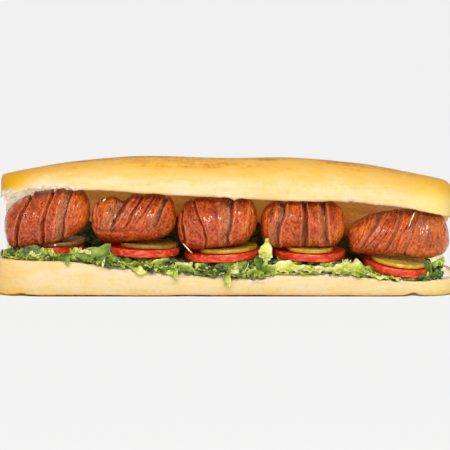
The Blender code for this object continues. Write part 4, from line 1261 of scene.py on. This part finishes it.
# The ranges that loose leaves are drawn from: a middling leaf, and how each batch differs from it.
middling = dict(
    x=(-0.1460, 0.1360), s=(-0.011, -0.001), heading=(-0.7, 0.7), bend=(-1.4, 1.4), loose=(1, 1),
    length=(0.006, 0.014), width=(0.0026, 0.0066), twist=(-1.2, 1.2), tilt=(-0.3, 0.9), wave=(0.0003, 0.0010),
    waves=(0.8, 2.2), ruffle=(0.0003, 0.0011), ruffles=(2, 6), fold=(-0.0010, 0.0010), h=(0.0010, 0.0032),
    rise=(0, 0), phase=(0, 6.3), rib=(0, 0.7), tone=(0.10, 0.78))
# Deep leaves low in the heap and the leaves behind on the ridge are toned dark as painted shade.
deep = dict(middling, s=(-0.016, -0.006), tone=(0.66, 1.10), h=(0.0004, 0.0016), width=(0.0030, 0.0070),
            tilt=(-0.2, 0.4))
pale = dict(middling, width=(0.0009, 0.0022), length=(0.006, 0.013), tone=(-0.05, 0.28), h=(0.0020, 0.0040))
hanging = dict(middling, s=(-0.007, -0.003), heading=(0.7, 2.3), length=(0.006, 0.009), h=(0.0008, 0.0026),
               width=(0.0026, 0.0050), tilt=(-0.2, 0.3), tone=(0.25, 0.85))
behind = dict(middling, x=(-0.104, 0.122), s=(0.000, 0.012), heading=(-0.9, 0.9), length=(0.008, 0.018),
              h=(0.0002, 0.0034), width=(0.003, 0.007), tone=(0.6, 1.1), loose=(0, 0))
leftEnd = dict(middling, x=(-0.1500, -0.1330), s=(-0.048, -0.008), heading=(-0.3, 1.3), bend=(-0.8, 0.8),
               length=(0.008, 0.013), width=(0.0035, 0.0070), h=(0.0006, 0.0018), tilt=(-0.25, 0.25),
               tone=(0.15, 0.95), loose=(0, 0))
rightEnd = dict(leftEnd, x=(0.1160, 0.1350), h=(0.0006, 0.0030))


def makeLettuce():
    draw = np.random.default_rng(shreds["seed"])
    coreRings = lettuceCore()
    sides, first, last = closedFaces(*coreRings.shape[:2])
    points, quads = [coreRings.reshape(-1, 3), coreRings[[0, -1]].mean(axis=1)], [sides]
    count = coreRings.size // 3 + 2
    # The core is toned dark, as painted shade under the leaves.
    masks = {"tone": [np.full(count, 0.95)], "rib": [np.zeros(count)], "edge": [np.zeros(count)]}

    labels = ("x", "s", "heading", "length", "width", "h", "rise", "tilt", "bend", "tone", "rib")
    placed, upright = [], []
    for named, made in ((pieces, placed), (standing, upright)):
        for piece in named:
            leaf = {key: draw.uniform(*limits) for key, limits in middling.items()}
            leaf.update(zip(labels, piece), twist=leaf["twist"] * 0.3, fold=0.0006 + leaf["fold"], loose=0)
            made.append(leaf)
    batches = [
        (drawLeaves(draw, 150, deep), onDrape, 12, 5), (drawLeaves(draw, 210, middling), onDrape, 13, 5),
        (drawLeaves(draw, 40, pale), onDrape, 12, 5), (drawLeaves(draw, 26, hanging), onDrape, 12, 5),
        (placed, onDrape, 24, 9), (upright, onUpright, 24, 9),
        (drawLeaves(draw, 70, behind), onRidge, 12, 5),
        (drawLeaves(draw, 30, leftEnd) + drawLeaves(draw, 30, rightEnd), onEnds, 10, 5)]
    for leaves, place, steps, across in batches:
        rings, found = leafSheets(leaves, place, steps, across)
        rings = underSlices(rings)
        quads.append(sheetFaces(rings, count))
        points.append(rings.reshape(-1, 3))
        count += rings.size // 3
        for key, values in found.items():
            masks[key].append(np.ascontiguousarray(values).ravel())
    heap = meshObject("lettuceHeap", np.concatenate(points), [np.concatenate(quads), first, last])
    for key, values in masks.items():
        setValues(heap, key, np.concatenate(values))
    settle(heap, lettuceMaterial(), "lettuce", "lettuce")
    print("lettuce:", len(heap.data.polygons), "faces")


# Flecks

# Thin flecks that lie on the food, as (start, end, width) in metres.
flecks = [
    ((0.1190, -0.0352, 0.0508), (0.1220, -0.0318, 0.0562), 0.0011),
    ((0.1178, -0.0364, 0.0476), (0.1192, -0.0354, 0.0512), 0.0007),
    ((-0.0272, -0.0352, 0.0366), (-0.0212, -0.0346, 0.0300), 0.0009),
    ((-0.0790, -0.0290, 0.0628), (-0.0770, -0.0270, 0.0646), 0.0012),
    ((-0.1098, -0.0330, 0.0345), (-0.1094, -0.0330, 0.0357), 0.0013),
]


# A fleck: a slim closed strip from start to end, bowed outwards, thickest in its middle.
def fleckBody(start, end, width, seed):
    u = np.linspace(0, 1, 14)[:, None, None]
    turn = np.linspace(0, 2 * math.pi, 10, endpoint=False)[None, :, None]
    start, end = np.array(start), np.array(end)
    along = (end - start) / np.linalg.norm(end - start)
    side = np.cross(along, [0, -1, 0])
    out = np.cross(side, along)
    spine = start + (end - start) * u + out * 0.0005 * np.sin(math.pi * u)
    thick = width / 2 * (0.25 + 0.75 * np.sin(math.pi * (0.06 + 0.88 * u)))
    rings = spine + side * thick * np.cos(turn) + out * thick * 0.5 * np.sin(turn)
    rings = rings + 0.0001 * noiseAt(rings, 0.0006, seed)[..., None]
    return closedBody("fleck", rings, start, end)


def makeFlecks():
    material, tree, shader = newMaterial("pale flecks")
    mottle = blotchMask(tree, objectPlace(tree), 800.0, 0.35, 0.65)
    colour = addMix(tree, mottle, paint(244, 236, 196), paint(224, 204, 140))
    tree.links.new(colour, shader.inputs["Base Color"])
    shader.inputs["Roughness"].default_value = 0.5
    bodies = [fleckBody(start, end, width, seed) for seed, (start, end, width) in enumerate(flecks)]
    fuse(bodies[0], bodies[1:])
    settle(bodies[0], material, "lettuce")
    print("flecks:", len(bodies))


# Floor, light and camera

view = dict(target=(0, -0.015, 0.0450), distance=0.9, elevation=math.radians(10), lens=109.56)
light = dict(keyPower=7.4, keyPlace=(0.02, -0.85, 0.62), keySize=(0.70, 0.12), frontPower=7.0,
             frontPlace=(0.10, -1.25, 0.14), frontSize=(0.9, 0.9), aim=(0, 0, 0.04), sky=0.38, glow=0.850)
floorForm = dict(halfWidth=3, front=-2.5, bendAt=1.6, curve=0.8, top=3.0, below=0.0001)


# The floor runs back from the front, bends up in a quarter circle and ends in a wall.
def makeFloor():
    front, bendAt, curve, top = floorForm["front"], floorForm["bendAt"], floorForm["curve"], floorForm["top"]
    x = np.linspace(-floorForm["halfWidth"], floorForm["halfWidth"], 3)
    bend = np.linspace(0.1, math.pi / 2, 12)
    run = np.concatenate([[front, 0.0, bendAt], bendAt + curve * np.sin(bend), [bendAt + curve]])
    rise = np.concatenate([[0.0, 0.0, 0.0], curve * (1 - np.cos(bend)), [top]]) - floorForm["below"]
    sheet = np.stack([np.repeat(x[:, None], len(run), axis=1), np.tile(run, (3, 1)), np.tile(rise, (3, 1))],
                     axis=-1)
    index = np.arange(3 * len(run)).reshape(3, len(run))
    quads = np.stack([index[:-1, :-1], index[1:, :-1], index[1:, 1:], index[:-1, 1:]], axis=-1).reshape(-1, 4)
    floor = meshObject("paleFloor", sheet.reshape(-1, 3), [quads])
    material, _, shader = newMaterial("pale backdrop")
    shader.inputs["Base Color"].default_value = (0.048, 0.048, 0.047, 1)
    shader.inputs["Roughness"].default_value = 0.9
    shader.inputs["Specular IOR Level"].default_value = 0.0
    shader.inputs["Emission Color"].default_value = (1, 1, 1, 1)
    shader.inputs["Emission Strength"].default_value = light["glow"]
    floor.data.materials.append(material)


def makeLight(name, power, place, size, colour):
    lamp = bpy.data.lights.new(name, "AREA")
    lamp.energy, lamp.color, lamp.shape = power, colour, "RECTANGLE"
    lamp.size, lamp.size_y = size
    made = bpy.data.objects.new(name, lamp)
    bpy.context.scene.collection.objects.link(made)
    made.location = place
    made.rotation_euler = (Vector(light["aim"]) - Vector(place)).to_track_quat("-Z", "Y").to_euler()


def makeStudio():
    makeFloor()
    makeLight("key", light["keyPower"], light["keyPlace"], light["keySize"], (1.0, 0.98, 0.95))
    makeLight("front", light["frontPower"], light["frontPlace"], light["frontSize"], (1.0, 1.0, 1.0))
    world = bpy.data.worlds.new("studio")
    world.use_nodes = True
    world.node_tree.nodes["Background"].inputs["Color"].default_value = (1.0, 0.995, 0.985, 1)
    world.node_tree.nodes["Background"].inputs["Strength"].default_value = light["sky"]
    bpy.context.scene.world = world
    bpy.context.scene.view_settings.view_transform = "Standard"
    camera = bpy.data.cameras.new("camera")
    camera.lens, camera.sensor_width, camera.clip_end = view["lens"], 36, 20
    made = bpy.data.objects.new("camera", camera)
    bpy.context.scene.collection.objects.link(made)
    back = Vector((0, -math.cos(view["elevation"]), math.sin(view["elevation"])))
    made.location = Vector(view["target"]) + back * view["distance"]
    made.rotation_euler = (-back).to_track_quat("-Z", "Y").to_euler()
    bpy.context.scene.camera = made
    print("studio ready")


makeRoll()
makeSlices()
makeSausages()
makeLettuce()
makeFlecks()
makeStudio()
